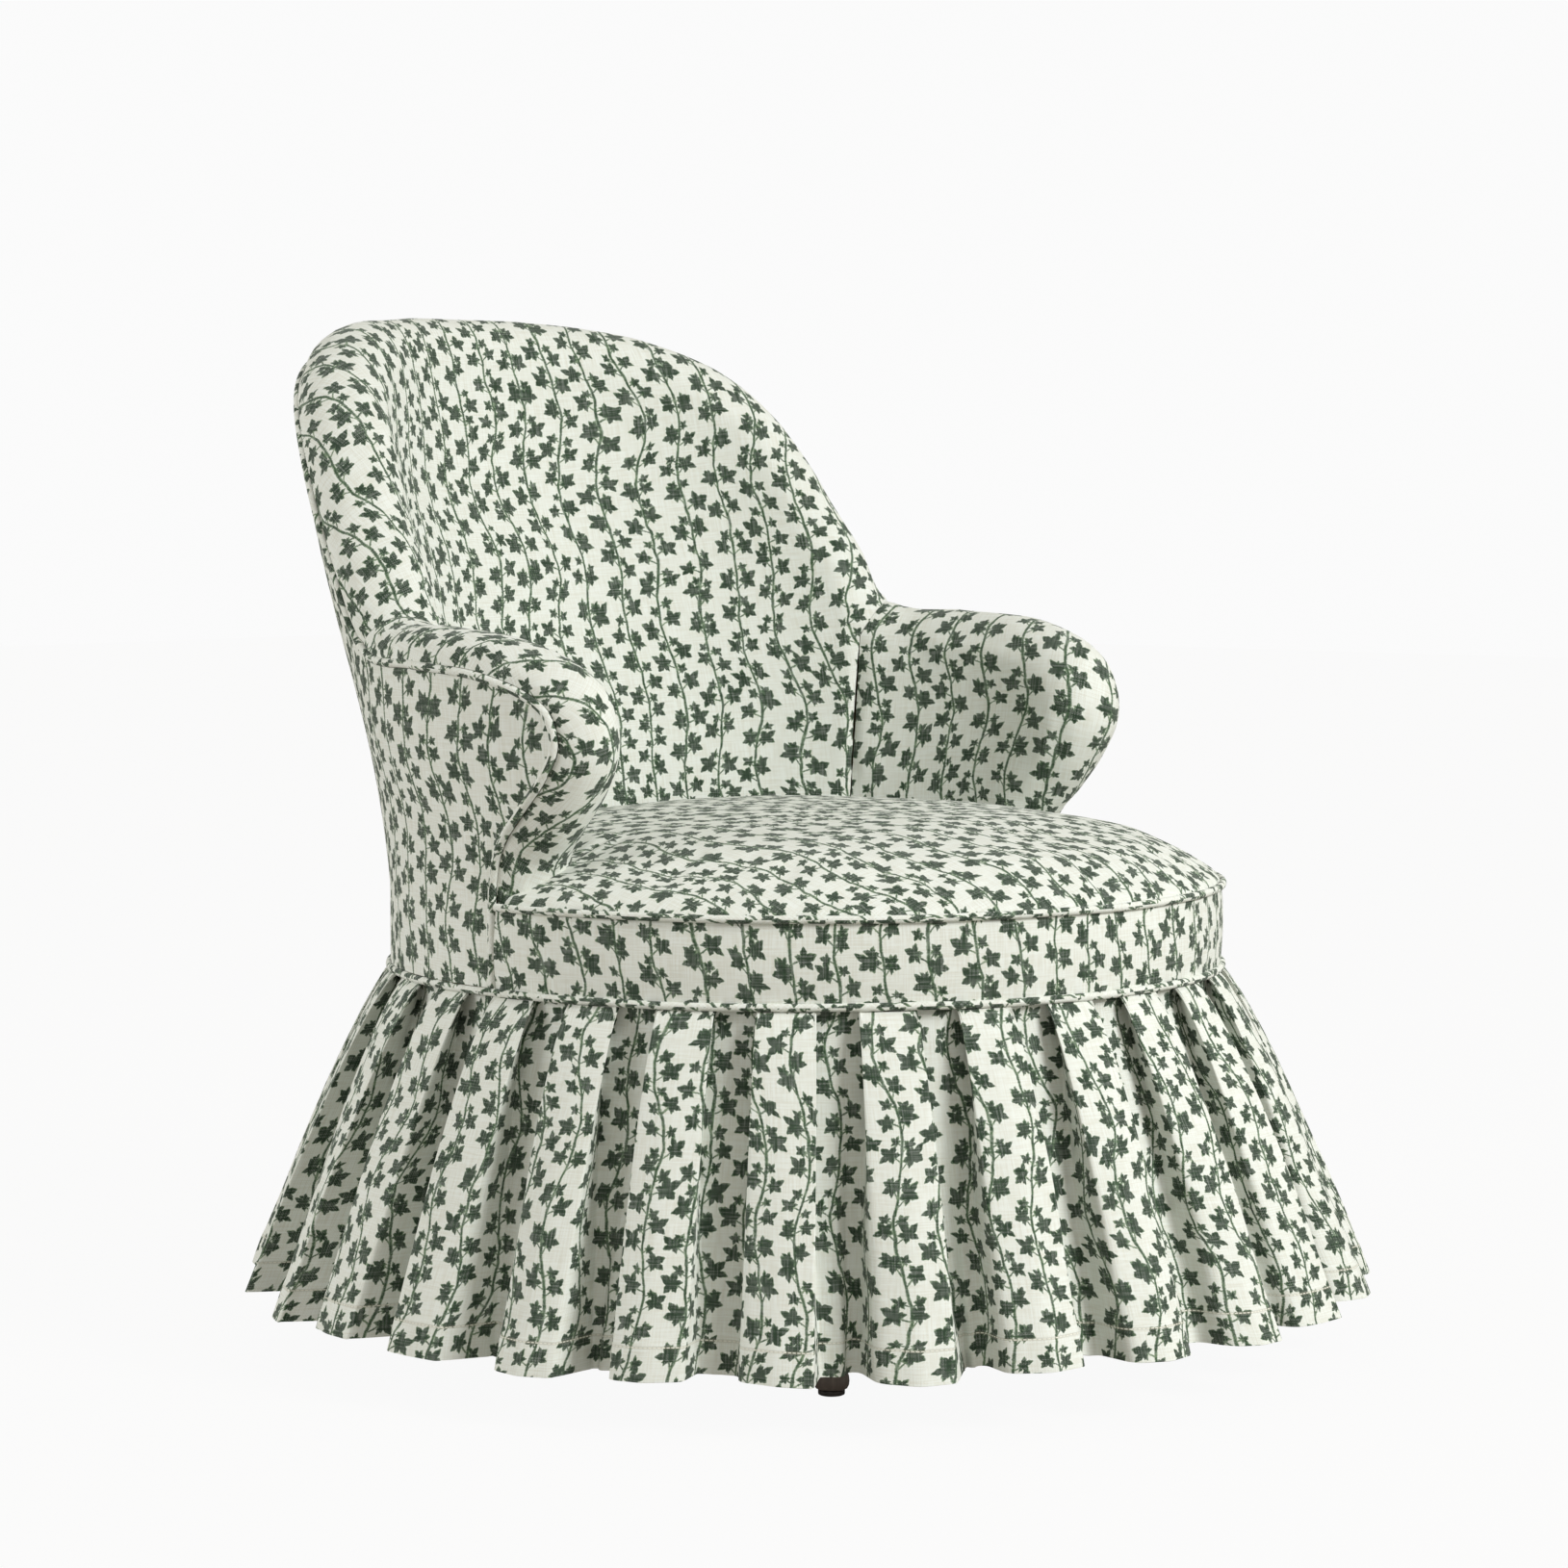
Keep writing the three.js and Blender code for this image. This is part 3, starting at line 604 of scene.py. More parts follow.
def print_group():
    """The whole print: how far inside the ink a place is, and the drawing in its leaves."""
    tree, graph, (place,) = group_graph("trailing_leaf_print", dict(Place="Vector"))
    x, y, _ = graph.split(place)
    column = (x + graph.sine(y * (TURN / STEM_BEND)) * STEM_SWAY) / STEM_PITCH
    gap = graph.math("FLOOR", column)
    out = (column - gap) * STEM_PITCH
    back = STEM_PITCH - out
    up = graph.field("TexWhiteNoise", dict(W=gap), noise_dimensions="1D") * LEAF_PITCH + y
    half_up = up + LEAF_PITCH / 2
    ink = STEM_WIDTH / 2 - graph.math("MINIMUM", out, back)
    big, small = leaf_group("big_leaves", BIG_LEAF), leaf_group("small_leaves", SMALL_LEAF)
    leaves = [(big, out, up), (big, back, half_up), (small, out, half_up), (small, back, up)]
    drawn = []
    for number, (leaf, side, height) in enumerate(leaves):
        inputs = dict(Out=side, Up=height, Row=gap * len(leaves) + number)
        leaf_ink, detail = graph.fields("ShaderNodeGroup", inputs, node_tree=leaf)
        ink = graph.math("MAXIMUM", ink, leaf_ink)
        drawn.append(detail)
    detail = drawn[0] + drawn[1] + drawn[2] + drawn[3]
    graph.node("NodeGroupOutput", dict(Ink=ink, Detail=detail))
    return tree


def warped(graph, place, scale, size):
    """A place moved about a little, so that no stem or leaf repeats exactly."""
    moved = graph.vector("SUBTRACT", graph.noise(place, scale, 1, output="Color"), (0.5, 0.5, 0.5))
    return graph.vector("ADD", place, graph.scale(moved, size))


def hem_stitches(graph, x, y, stitch_level):
    """Where the stitches of a hem are, and the dip that they draw in the cloth: a mask for the dip's relief and
    for the painted shade laid into it.
    """
    beside = abs(y - stitch_level)
    run = abs(graph.math("WRAP", x, STITCH, 0.0) - STITCH / 2)
    stitch = graph.ramp(beside, *STITCH_WIDTH, 1.0, 0.0) * graph.ramp(run, *STITCH_LENGTH, 1.0, 0.0)
    return stitch, graph.ramp(beside, *STITCH_DIP, 1.0, 0.0)


def printed_linen(name, print_tree, stitch_level=None):
    material, graph, shader = new_material(name)
    cloth = graph.field("UVMap", uv_map="cloth")
    place = cloth
    for warp in WARPS:
        place = warped(graph, place, *warp)
    ink, detail = graph.fields("ShaderNodeGroup", dict(Place=place), node_tree=print_tree)
    x, y, _ = graph.split(cloth)
    warp, weft = (graph.noise(graph.vector("MULTIPLY", cloth, scale), 1, 1) for scale in SLUB_SCALES)
    slub = warp + weft
    crossing = graph.sine(x * (TURN / 2 / THREAD)) * graph.sine(y * (TURN / 2 / THREAD))
    rough = (graph.noise(cloth, 800, 2) - 0.5) * ROUGH_EDGE
    printed = graph.ramp(rough + ink + crossing * THREAD_EDGE, -INK_EDGE, INK_EDGE)
    tone = graph.ramp(ink, 0.0, INK_DEPTH) + (graph.noise(cloth, 170, 3, 0.6) * 1.9 - 0.72) - detail * 0.55
    colour = graph.mix(graph.ramp(tone, -0.05, 0.45), INK_PALE, INK_MID)
    colour = graph.mix(graph.ramp(tone, 0.25, 0.95), colour, INK_DARK)
    ground = graph.mix(graph.ramp(crossing * 0.12 + slub, 0.7, 1.25), CREAM_WARM, CREAM)
    taken = graph.ramp(crossing * 0.16 + slub, 0.85, 1.4, 1.0, 0.78)
    surface = graph.mix(printed * taken, ground, colour)
    height = abs(crossing) * 0.7 + slub
    if stitch_level is not None:
        stitch, dip = hem_stitches(graph, x, y, stitch_level)
        # Painted shade: the dip along the stitch line is darkened in colour as well as sunk in relief; the
        # stitches are real thread
        surface = graph.mix(stitch, graph.mix(dip * 0.45, surface, HEM_DIP_PAINTED_SHADE), STITCH_THREAD)
        height = stitch * 2.0 + height - dip * 1.5
    graph.fill(shader, {"Base Color": surface, **LINEN_SURFACE})
    graph.relief(shader, height, *LINEN_RELIEF)
    return material


SKIRT_SLANT = math.hypot(SKIRT_TOP - HEM_HEIGHT, HEM_RADIUS - SEAT_RADIUS)
PRINT = print_group()
LINEN = printed_linen("printed_linen", PRINT)
SKIRT_LINEN = printed_linen("printed_linen_hemmed", PRINT, HEM_LINE - SKIRT_SLANT)


# Looks of the rest, in the coordinates of the object, each between a lighter and a darker colour
PLAIN_RELIEF = 0.3 * MM
WOOD_RELIEF = (0.15, 0.1 * MM)
WEAVE_RELIEF = 0.4 * MM


def object_place(graph, stretch=(1, 1, 1)):
    return graph.vector("MULTIPLY", graph.field("TexCoord", output="Object"), stretch)


def plain_look(name, light, dark, roughness, scale, stretch=(1, 1, 1), bump=0.2, metal=0.0):
    """A surface with a fine uneven colour and relief."""
    material, graph, shader = new_material(name)
    grain = graph.noise(object_place(graph, stretch), scale, 4, 0.6)
    colour = graph.mix(graph.ramp(grain, 0.3, 0.7), dark, light)
    graph.fill(shader, {"Base Color": colour, "Roughness": roughness, "Metallic": metal})
    graph.relief(shader, grain, bump, PLAIN_RELIEF)
    return material


def wood_look(name, light, dark, roughness):
    """Straight grain along the upright, with darker pores."""
    material, graph, shader = new_material(name)
    rings = graph.noise(object_place(graph, (1, 1, 0.06)), 60, 3, 0.55)
    pores = graph.noise(object_place(graph, (1, 1, 0.03)), 900, 2)
    grain = graph.mix(graph.sine(rings * 38.0) * 0.3 + 0.5, dark, light)
    colour = graph.mix(graph.ramp(pores, 0.6, 0.75) * 0.45, grain, dark)
    graph.fill(shader, {"Base Color": colour, "Roughness": pores * 0.15 + roughness})
    graph.relief(shader, graph.ramp(pores, 0.75, 0.6), *WOOD_RELIEF)
    return material


def woven_look(name, light, dark, thread, strength=0.6):
    """A coarse plain weave with gaps between its threads."""
    material, graph, shader = new_material(name)
    place = object_place(graph)
    x, y, z = graph.split(graph.scale(place, TURN / 2 / thread))
    weave = abs(graph.sine(x + y) * graph.sine(x - y + z))
    tone = graph.noise(place, 300, 3) * 0.8 + weave * 0.6
    colour = graph.mix(graph.ramp(tone, 0.3, 0.9), dark, light)
    graph.fill(shader, {"Base Color": colour, "Roughness": 0.95})
    graph.relief(shader, weave, strength, WEAVE_RELIEF)
    return material


FOAM = plain_look("seat_foam_look", (0.80, 0.72, 0.44, 1), (0.70, 0.60, 0.33, 1), 0.95, 1400, bump=0.5)
WADDING = plain_look("wadding_look", (0.84, 0.83, 0.80, 1), (0.70, 0.69, 0.66, 1), 1.0, 260, (1, 1, 3), 0.6)
HESSIAN = woven_look("hessian_look", (0.47, 0.36, 0.20, 1), (0.26, 0.18, 0.09, 1), 1.6 * MM)
WEBBING = woven_look("webbing_look", (0.45, 0.33, 0.17, 1), (0.24, 0.16, 0.07, 1), 1.1 * MM)
DUST_CLOTH = woven_look("dust_cloth_look", (0.030, 0.030, 0.032, 1), (0.012, 0.012, 0.013, 1), 0.6 * MM, 0.3)
FRAME_WOOD = wood_look("beech_look", (0.56, 0.36, 0.19, 1), (0.42, 0.24, 0.11, 1), 0.6)
LEG_WOOD = wood_look("leg_wood_look", (0.46, 0.385, 0.335, 1), (0.33, 0.27, 0.235, 1), 0.4)
BOARD = plain_look("board_look", (0.44, 0.33, 0.20, 1), (0.36, 0.26, 0.15, 1), 0.9, 500, (1, 1, 0.3))
STEEL = plain_look(
    "steel_look", (0.58, 0.58, 0.60, 1), (0.44, 0.44, 0.46, 1), 0.38, 700, (1, 0.05, 1), bump=0.08, metal=1.0,
)
GLIDE = plain_look("glide_look", (0.15, 0.135, 0.125, 1), (0.11, 0.1, 0.092, 1), 0.5, 300, bump=0.1)


# Covers of the shell. Waves are given by their length, height and seed.
COVER_WAVES = (95 * MM, 1.8 * MM, 1)
SMALL_WAVES = (28 * MM, 0.5 * MM, 2)
OUTSIDE_WAVES = (120 * MM, 1.5 * MM, 3)
WELT_WAVES = (60 * MM, 0.6 * MM)
COVER_TURN = -math.acos((ROLL_RADIUS - (WELT_INSET - WELT_RADIUS - CLEARANCE)) / ROLL_RADIUS)
COVER_THICKNESS = 2.2 * MM
ROLL_STEPS = 18
FALL_STEPS = 26
FOAM_COVER_GAP = 5 * MM
INNER_RADIUS = SEAT_RADIUS - 2 * ROLL_RADIUS
SEAM_GAP = 0.00003
SEAM_PINCH = 1.3 * MM
SEAM_REACH = 4.5 * MM
ROLL_LENGTH_GUESS = 0.6
BACK_COLUMNS = 210
ARM_COLUMNS = 120
OUTSIDE_COLUMNS = 300
OUTSIDE_ROWS = 30
FOLDS_AT = 0.105
FOLDS_WIDTH = 0.036
FOLDS_RUN = 12 * MM
FOLDS_RUN_WIDTH = 17 * MM
FOLDS_FALL = 0.2
FOLD_HEIGHT = 1.7 * MM
FOLD_SIZE = 4.1 * MM
FOLD_SLANT = 50
TUCK_LENGTH = 12 * MM
TUCK_DEPTH = 3.6 * MM
SETTLE_CAP = 3.5 * MM
SETTLE_FRAMES = 20
SINK_LIMIT = 0.6 * MM
CLOTH_SETTINGS = dict(
    quality=6, mass=0.3, tension_stiffness=12, compression_stiffness=12, bending_stiffness=0.6,
    use_pressure=True, uniform_pressure_force=4, shrink_min=-0.012, vertex_group_mass="held",
)
BIAS = 0.707
CORD_SIDES = 16
EDGE_WELT_RADIUS = WELT_RADIUS + 0.3 * MM
BAND_SIDE_ANGLE = ARM_FOOT_ANGLE - (WELT_INSET - WELT_RADIUS - CLEARANCE) / SEAT_RADIUS


def dress(obj, node):
    """Puts a finished piece on the chair, in place of its frame node."""
    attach(obj, "root")
    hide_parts(node)
    return obj


def flat_cut(uvs):
    """Width and length, and the area, of the flat cloth that a cover is cut from."""
    flat = np.concatenate([uv.reshape(-1, 2) for uv in uvs])
    area = sum(grid_area(uv) for uv in uvs)
    width, length = np.ptp(flat, axis=0)
    return (float(width), float(length)), float(min(area, 0.999 * width * length))


def linen_cover(name, grids, node, polar=False):
    """A stretched cover of printed linen, from the grids of one surface."""
    cover = finished(grid_surface(name, grids, LINEN, polar), COVER_THICKNESS)
    dress(cover, node)
    flat, area = flat_cut([uv for _, uv, _ in grids])


def edge_rows(first_inset, count):
    """Inset and fall of each row: one at the edge, then from within the rolled edge down to the foot."""
    inset = np.concatenate([[first_inset], np.full(count, ROLL_RADIUS)])
    return inset[None], np.concatenate([[0], shares(count)])[None]


def cover_rows(radius=ROLL_RADIUS):
    """Inset, fall, depth and cloth run of each row, over the rolled edge and down the inside."""
    turns = np.linspace(COVER_TURN, math.pi / 2, ROLL_STEPS)
    falls = shares(FALL_STEPS)[1:]
    inset = np.concatenate([ROLL_RADIUS - radius * np.cos(turns), np.full(len(falls), ROLL_RADIUS)])
    depth = np.concatenate([ROLL_RADIUS + radius * np.sin(turns), np.full(len(falls), ROLL_RADIUS + radius)])
    fall = np.concatenate([0 * turns, falls])
    run = np.concatenate([radius * (math.pi / 2 - turns), 0 * falls])
    return inset, fall, depth, run


def along_columns(points):
    """Distance of each point from the first column and from the last one."""
    start = run_along(points)
    return start, start[-1] - start


def arm_folds(t, run, fall):
    """Folds along the arm's edge, where its cover is pulled down between its nose and the seat."""
    side = np.minimum(t, 1 - t)
    along = hump(side, FOLDS_AT, FOLDS_WIDTH)
    near = hump(run, FOLDS_RUN, FOLDS_RUN_WIDTH) * hump(fall, 0, FOLDS_FALL)
    return FOLD_HEIGHT * along * near * np.sin(run / FOLD_SIZE + side * FOLD_SLANT)


def tucked_foot(points):
    """The foot of the arm's rolled front goes in behind the band and its welt."""
    reach = lengths(points[..., :2])
    free = smoothstep(points[..., 2:], SEAT_WELT_HEIGHT, SEAT_WELT_HEIGHT + TUCK_LENGTH)
    limit = lerp(SEAT_RADIUS - TUCK_DEPTH, reach, free)
    points = points.copy()
    points[..., :2] *= np.minimum(reach, limit) / reach
    return points


def swelled(obj):
    """Places of a mesh's points after cloth simulation with pressure from inside."""
    cloth = obj.modifiers.new("cloth", "CLOTH")
    for name, value in CLOTH_SETTINGS.items():
        setattr(cloth.settings, name, value)
    cloth.settings.effector_weights.gravity = 0
    scene = bpy.context.scene
    for frame_number in range(SETTLE_FRAMES):
        scene.frame_set(frame_number + 1)
    made = obj.evaluated_get(bpy.context.evaluated_depsgraph_get()).to_mesh()
    places = np.zeros(len(made.vertices) * 3, np.float32)
    made.vertices.foreach_get("co", places)
    bpy.data.objects.remove(obj)
    scene.frame_set(1)
    return places.reshape(-1, 3)


def settled(points, held, cap, closed=False, polar=False):
    """Points of a cover after its cloth has swelled over the stuffing, held where a grid says so."""
    columns, rows = points.shape[:2]
    index = np.arange(columns * rows).reshape(columns, rows)
    if polar:
        index[:, 0] = index[0, 0]
    quads = grid_quads(columns, rows, closed)
    faces = [list(dict.fromkeys(int(index[i % columns, j]) for i, j in quad)) for quad in quads]
    obj = mesh_object("settling", points, faces)
    group = obj.vertex_groups.new(name="held")
    group.add(np.unique(index[np.broadcast_to(held, index.shape)]).tolist(), 1.0, "REPLACE")
    move = swelled(obj)[index].astype(float) - points
    normals = grid_normals(points, closed)
    sunk = np.minimum((move * normals).sum(axis=-1, keepdims=True) + SINK_LIMIT, 0)
    move = move - sunk * normals
    far = lengths(move)
    return points + move * np.minimum(1, cap / np.maximum(far, 1e-9))


def cover_cut(t, inset, fall, run):
    """First guess of an inside cover's flat cut, in metres of cloth."""
    angle, height = shell_sheet(t, np.full_like(inset, ROLL_RADIUS), fall)
    tangent = edge_tangent(t)
    outward = np.stack([tangent[..., 1], -tangent[..., 0]], axis=-1)
    flat = np.stack([angle * INNER_RADIUS, height], axis=-1)
    return flat + outward * (ROLL_LENGTH_GUESS * run)[None, :, None]


def inside_foam(name, t, node):
    """Foam from the hessian to a little under the cover."""
    inset, fall, depth, run = cover_rows(ROLL_RADIUS - FOAM_COVER_GAP)
    front = shell_point(t, inset, fall, depth)
    inset_back = np.where(run > 0, FRAME_INSET - 2 * CLEARANCE, ROLL_RADIUS)
    rolled = 1 - run / run.max()
    back = shell_point(t, inset_back, fall, lerp(FRAME_DEPTH - CLEARANCE, FOAM_DEPTH, rolled))
    foam = slab_object(name, front, back, FOAM)
    dress(foam, node)


def inside_cover(name, start, end, columns, cover_node, foam_node):
    t = np.linspace(start, end, columns)[:, None]
    inset, fall, depth, run = cover_rows()
    points = shell_point(t, inset, fall, depth)
    uv = unwrapped(points, cover_cut(t, inset, fall, run))
    held = np.zeros(points.shape[:2], bool)
    held[[0, -1]] = held[:, [0, -1, -2, -3]] = True
    points = settled(points, held, SETTLE_CAP)
    first, last = along_columns(points)
    seam = hump(first, 0, SEAM_REACH) * (start > 0) + hump(last, 0, SEAM_REACH) * (end < 1)
    lift = softness(points, *COVER_WAVES) + softness(points, *SMALL_WAVES) + arm_folds(t, run, fall)
    points = tucked_foot(pushed(points, lift * (1 - seam) - SEAM_PINCH * seam))
    linen_cover(name, [(points, uv, False)], cover_node)
    inside_foam(foam_node + "_block", t[1:-1], foam_node)


def outside_cover():
    t = np.linspace(1, 0, OUTSIDE_COLUMNS)[:, None]
    inset, fall = edge_rows(WELT_INSET + WELT_RADIUS + CLEARANCE, OUTSIDE_ROWS)
    shell = shell_point(t, inset, fall, 0 * fall)
    shell = pushed(shell, softness(shell, *OUTSIDE_WAVES) * np.minimum(1, fall * 6))
    angle, height = shell_sheet(t, inset, fall)
    uv = np.stack([angle * SEAT_RADIUS, height], axis=-1)
    top, top_uv = (np.concatenate([v[0], v[1:-1, -1], v[-1][::-1]]) for v in (shell, uv))
    drop = shares(10)[None, :, None]
    foot = at_height(top, COVER_FOOT)
    foot_uv = top_uv * [1, 0] + [0, COVER_FOOT]
    lower = lerp(top[:, None], foot[:, None], drop)
    lower_uv = lerp(top_uv[:, None], foot_uv[:, None], drop)
    grids = [(shell, uv, False), (lower, lower_uv, False)]
    linen_cover("outside_cover_linen", grids, "outside_cover")


def close_ends(obj):
    with editing(obj) as shape:
        open_edges = [e for e in shape.edges if len(e.link_faces) == 1]
        bmesh.ops.holes_fill(shape, edges=open_edges, sides=0)
        bmesh.ops.recalc_face_normals(shape, faces=shape.faces)


def welt(name, path, node, seed, closed=False, radius=WELT_RADIUS):
    """A cord in a bias-cut cover."""
    path = path + softness(path, *WELT_WAVES, seed)[:, None] * [0, 0, 1]
    points, uv = tube_surface(path, radius, CORD_SIDES, closed)
    uv = uv @ np.array([[BIAS, BIAS], [-BIAS, BIAS]])
    cord = grid_surface(name, [(points, uv, True)], LINEN)
    if closed:
        outward_faces(cord)
    else:
        close_ends(cord)
    smooth_with_sharp_edges(cord, WELT_SHARP_ANGLE)
    dress(cord, node)


def edge_welt_path():
    t = shares(420)
    path = shell_point(t, WELT_INSET, 0, WELT_SINK)
    drop = shares(9)[:-1, None]
    first, last = (at_height(path[end], COVER_FOOT) for end in (0, -1))
    return np.vstack([lerp(first, path[0], drop), path, lerp(last, path[-1], drop)[::-1]])


BACK_SPAN = (SEAM_AT + SEAM_GAP, 1 - SEAM_AT - SEAM_GAP)
ARM_SPANS = dict(left=(0, SEAM_AT - SEAM_GAP), right=(1 - SEAM_AT + SEAM_GAP, 1))

inside_cover("inside_back_linen", *BACK_SPAN, BACK_COLUMNS, "inside_back_cover", "back_foam")
for hand, span in ARM_SPANS.items():
    arm_cover, arm_foam = "inside_arm_cover_" + hand, "arm_foam_" + hand
    inside_cover("inside_arm_linen_" + hand, *span, ARM_COLUMNS, arm_cover, arm_foam)
outside_cover()
welt("edge_welt_cord", edge_welt_path(), "edge_welt", 5, radius=EDGE_WELT_RADIUS)


# Seat
WELT_START_ANGLE = BAND_SIDE_ANGLE + 2.5 * MM / SEAT_RADIUS
SEAT_SETTLE_CAP = 7 * MM
ROLL_OUTLINE_STEPS = 15
ROLL_OUTLINE_END = -math.radians(62)
ROLL_SPREAD = math.radians(9)
RIM_INSET = 1.6 * MM
RIM_SINK = 1.2 * MM
RIM_TUCK = 26 * MM
RIM_REACH = 24 * MM
FIRST_OPENING = 0.6
DOME_POWER = 2.75
DOME_ROOT = 0.66
RING_POWER = 1.9
PUCKER_HEIGHT = 0.8 * MM
FOAM_GAP = 0.8 * MM
BAND_BULGE = 1.8 * MM
BAND_SINK = 0.6 * MM
BAND_LAPS = (1 * MM, 2 * MM)
ROLL_GAPS = (1 * MM, -2.5 * MM)
SEAT_WAVES = (110 * MM, 2.0 * MM, 8)
BAND_WAVES = (60 * MM, 0.8 * MM, 11)
SEAT_WELT_REACH = SEAT_RADIUS + 0.8 * MM
SKIRT_WELT_REACH = SEAT_RADIUS + 0.5 * MM


def dome_curve(share):
    """Height of the cushion over its rim at a share of its radius, as a share of the crown."""
    return (1 - np.clip(share, 0, 1) ** DOME_POWER) ** DOME_ROOT


def roll_outline():
    """Angle and radius, in plan, of the arm's rolled front where it stands in the seat, from inside out."""
    turns = np.linspace(math.pi / 2, ROLL_OUTLINE_END, ROLL_OUTLINE_STEPS)
    gap = lerp(*ROLL_GAPS, smoothstep(turns, 0, math.pi / 2))
    inset = ROLL_RADIUS - (ROLL_RADIUS + gap) * np.cos(turns)
    depth = ROLL_RADIUS + (ROLL_RADIUS + gap) * np.sin(turns)
    place = shell_point(0 * turns, inset, 0 * turns, depth)
    return np.arctan2(place[:, 0], place[:, 1]), np.linalg.norm(place[:, :2], axis=1)


def mirrored(values, sign=1, offset=0):
    """Values from the rear middle to the front middle, gone on round the other side."""
    return np.concatenate([values, sign * values[-2:0:-1] + offset])[:, None]


def seat_outline():
    """Angle and radius of the cushion's edge, the angle of the way out to it, and how open its rim is."""
    roll_angle, roll_radius = roll_outline()
    front = np.linspace(WELT_START_ANGLE, math.pi, 76)
    rear = np.linspace(0, roll_angle[0], 46)[:-1]
    front_radius = np.full(len(front), SEAT_RADIUS - RIM_INSET)
    radius = np.concatenate([np.full(len(rear), SEAT_REAR_RADIUS), roll_radius, front_radius])
    spread = np.linspace(roll_angle[0], roll_angle.max() + ROLL_SPREAD, len(roll_angle) + 1)
    outer = lerp(spread[-1], math.pi, shares(len(front)))
    edge = np.concatenate([rear, roll_angle, front])
    way = np.concatenate([rear, spread[:-1], outer])
    opened = np.concatenate([np.zeros(len(rear) + len(roll_angle)), np.ones(len(front))])
    opened[len(rear) + len(roll_angle)] = FIRST_OPENING
    return mirrored(edge, -1, TURN), mirrored(radius), mirrored(way, -1, TURN), mirrored(opened)


def seat_points():
    edge, radius, way, opened = seat_outline()
    share = (1 - (1 - shares(46)) ** RING_POWER)[None]
    angle = lerp(way, edge, smoothstep(share, 0.8, 1.0))
    inner = np.minimum(radius, SEAT_RADIUS)
    reach = share * inner
    height = RIM_HEIGHT - RIM_SINK + SEAT_CROWN * dome_curve(reach / (SEAT_RADIUS - RIM_INSET))
    tuck = lerp(RIM_TUCK, 0.0, opened)
    height = height - tuck * smoothstep(share, 0.972, 1.0)
    return at_angle(angle, height, reach), share, opened, inner, angle


def seat_cover():
    points, share, opened, inner, angle = seat_points()
    held = np.broadcast_to(share > 0.985, points.shape[:2])
    points = settled(points, held, SEAT_SETTLE_CAP, closed=True, polar=True)
    rim = hump((1 - share) * inner, 0, RIM_REACH) * opened
    pucker = np.sin(angle * 31) * np.sin(angle * 12 + 1)
    lift = softness(points, *SEAT_WAVES) * (1 - rim) + PUCKER_HEIGHT * rim * pucker * (1 - share**30)
    points = points + (lift * smoothstep(1 - share, 0, 0.04))[..., None] * [0, 0, 1]
    reach = run_along(points, axis=1)
    uv = np.stack([reach * np.sin(angle), reach * np.cos(angle)], axis=-1)
    uv = np.concatenate([uv, uv[:1]])
    linen_cover("seat_top_linen", [(points, uv, True)], "seat_top_cover", polar=True)
    seat_foam(points, share)


def seat_foam(points, share):
    """Foam from the platform to a little under the seat's cover."""
    normals = grid_normals(points, True)
    normals[:, 0] = (0, 0, 1)
    top = (points - normals * (COVER_THICKNESS + FOAM_GAP))[:, share[0] < 0.96]
    foot = at_height(top, SHELL_FOOT + CLEARANCE)
    top[..., 2] = np.maximum(top[..., 2], SHELL_FOOT + 2 * CLEARANCE)
    foam = slab_object("seat_foam_block", top, foot, FOAM, closed=True)
    dress(foam, "seat_foam")


def band_cover():
    angles = np.linspace(BAND_SIDE_ANGLE, TURN - BAND_SIDE_ANGLE, 240)[:, None]
    down = shares(14)[None]
    height = lerp(SEAT_WELT_HEIGHT - BAND_LAPS[0], COVER_FOOT - BAND_LAPS[1], down)
    points = at_angle(angles, height, SEAT_RADIUS - BAND_SINK + BAND_BULGE * np.sin(math.pi * down))
    points = pushed(points, softness(points, *BAND_WAVES))
    uv = np.stack(np.broadcast_arrays(angles * SEAT_RADIUS, height), axis=-1)
    linen_cover("seat_band_linen", [(points, uv, False)], "seat_band_cover")


seat_cover()
seat_welt_angles = np.linspace(WELT_START_ANGLE, TURN - WELT_START_ANGLE, 300)
seat_welt_path = at_angle(seat_welt_angles, SEAT_WELT_HEIGHT, SEAT_WELT_REACH)
welt("seat_welt_cord", seat_welt_path, "seat_welt", 6)
band_cover()
skirt_welt_path = at_angle(round_angles(540), SKIRT_WELT_HEIGHT, SKIRT_WELT_REACH)
welt("skirt_welt_cord", skirt_welt_path, "skirt_welt", 7, closed=True)


# Inner cloths and padding
HESSIAN_THICKNESS = 1.2 * MM
LAYER_ROWS = 20
CLOTH_SIDES = 96
STRAP_WAVE = 0.09 * MM
STRAP_WAVE_LENGTH = 60 * MM
STRAP_RIB = 0.08 * MM
STRAP_FACE = 0.25 * MM
OPENING_REACH = 8
BAND_WADDING_DEPTH = 8.4 * MM
WADDING_THICKNESS = 4 * MM
OUTSIDE_WADDING_DEPTH = 3.6 * MM
WADDING_MARGIN = 0.5 * MM
WADDING_INSET = FRAME_INSET + 2 * MM
LAYER_WAVE_LENGTH = 50 * MM
WADDING_WAVES = (25 * MM, 0.4 * MM, 40)


def shell_layer(name, place, depth, thickness, material, slot, node):
    """A layer of the shell between two depths."""
    front = shell_point(*place, depth)
    back = shell_point(*place, depth + thickness)
    waves = softness(front, LAYER_WAVE_LENGTH, 0.25 * thickness, 31)[..., None] * grid_normals(front)
    return dress(slab_object(name, front, back + waves, material), node)


def hessian_layer(name, start, end, columns, node):
    place = (np.linspace(start, end, columns)[:, None], *edge_rows(FRAME_INSET, LAYER_ROWS))
    layer = shell_layer(name, place, HESSIAN_DEPTH, HESSIAN_THICKNESS, HESSIAN, "hessian", node)
    angle, height = shell_sheet(*place)
    flat, area = flat_cut([np.stack([angle * (SEAT_RADIUS - HESSIAN_DEPTH), height], axis=-1)])


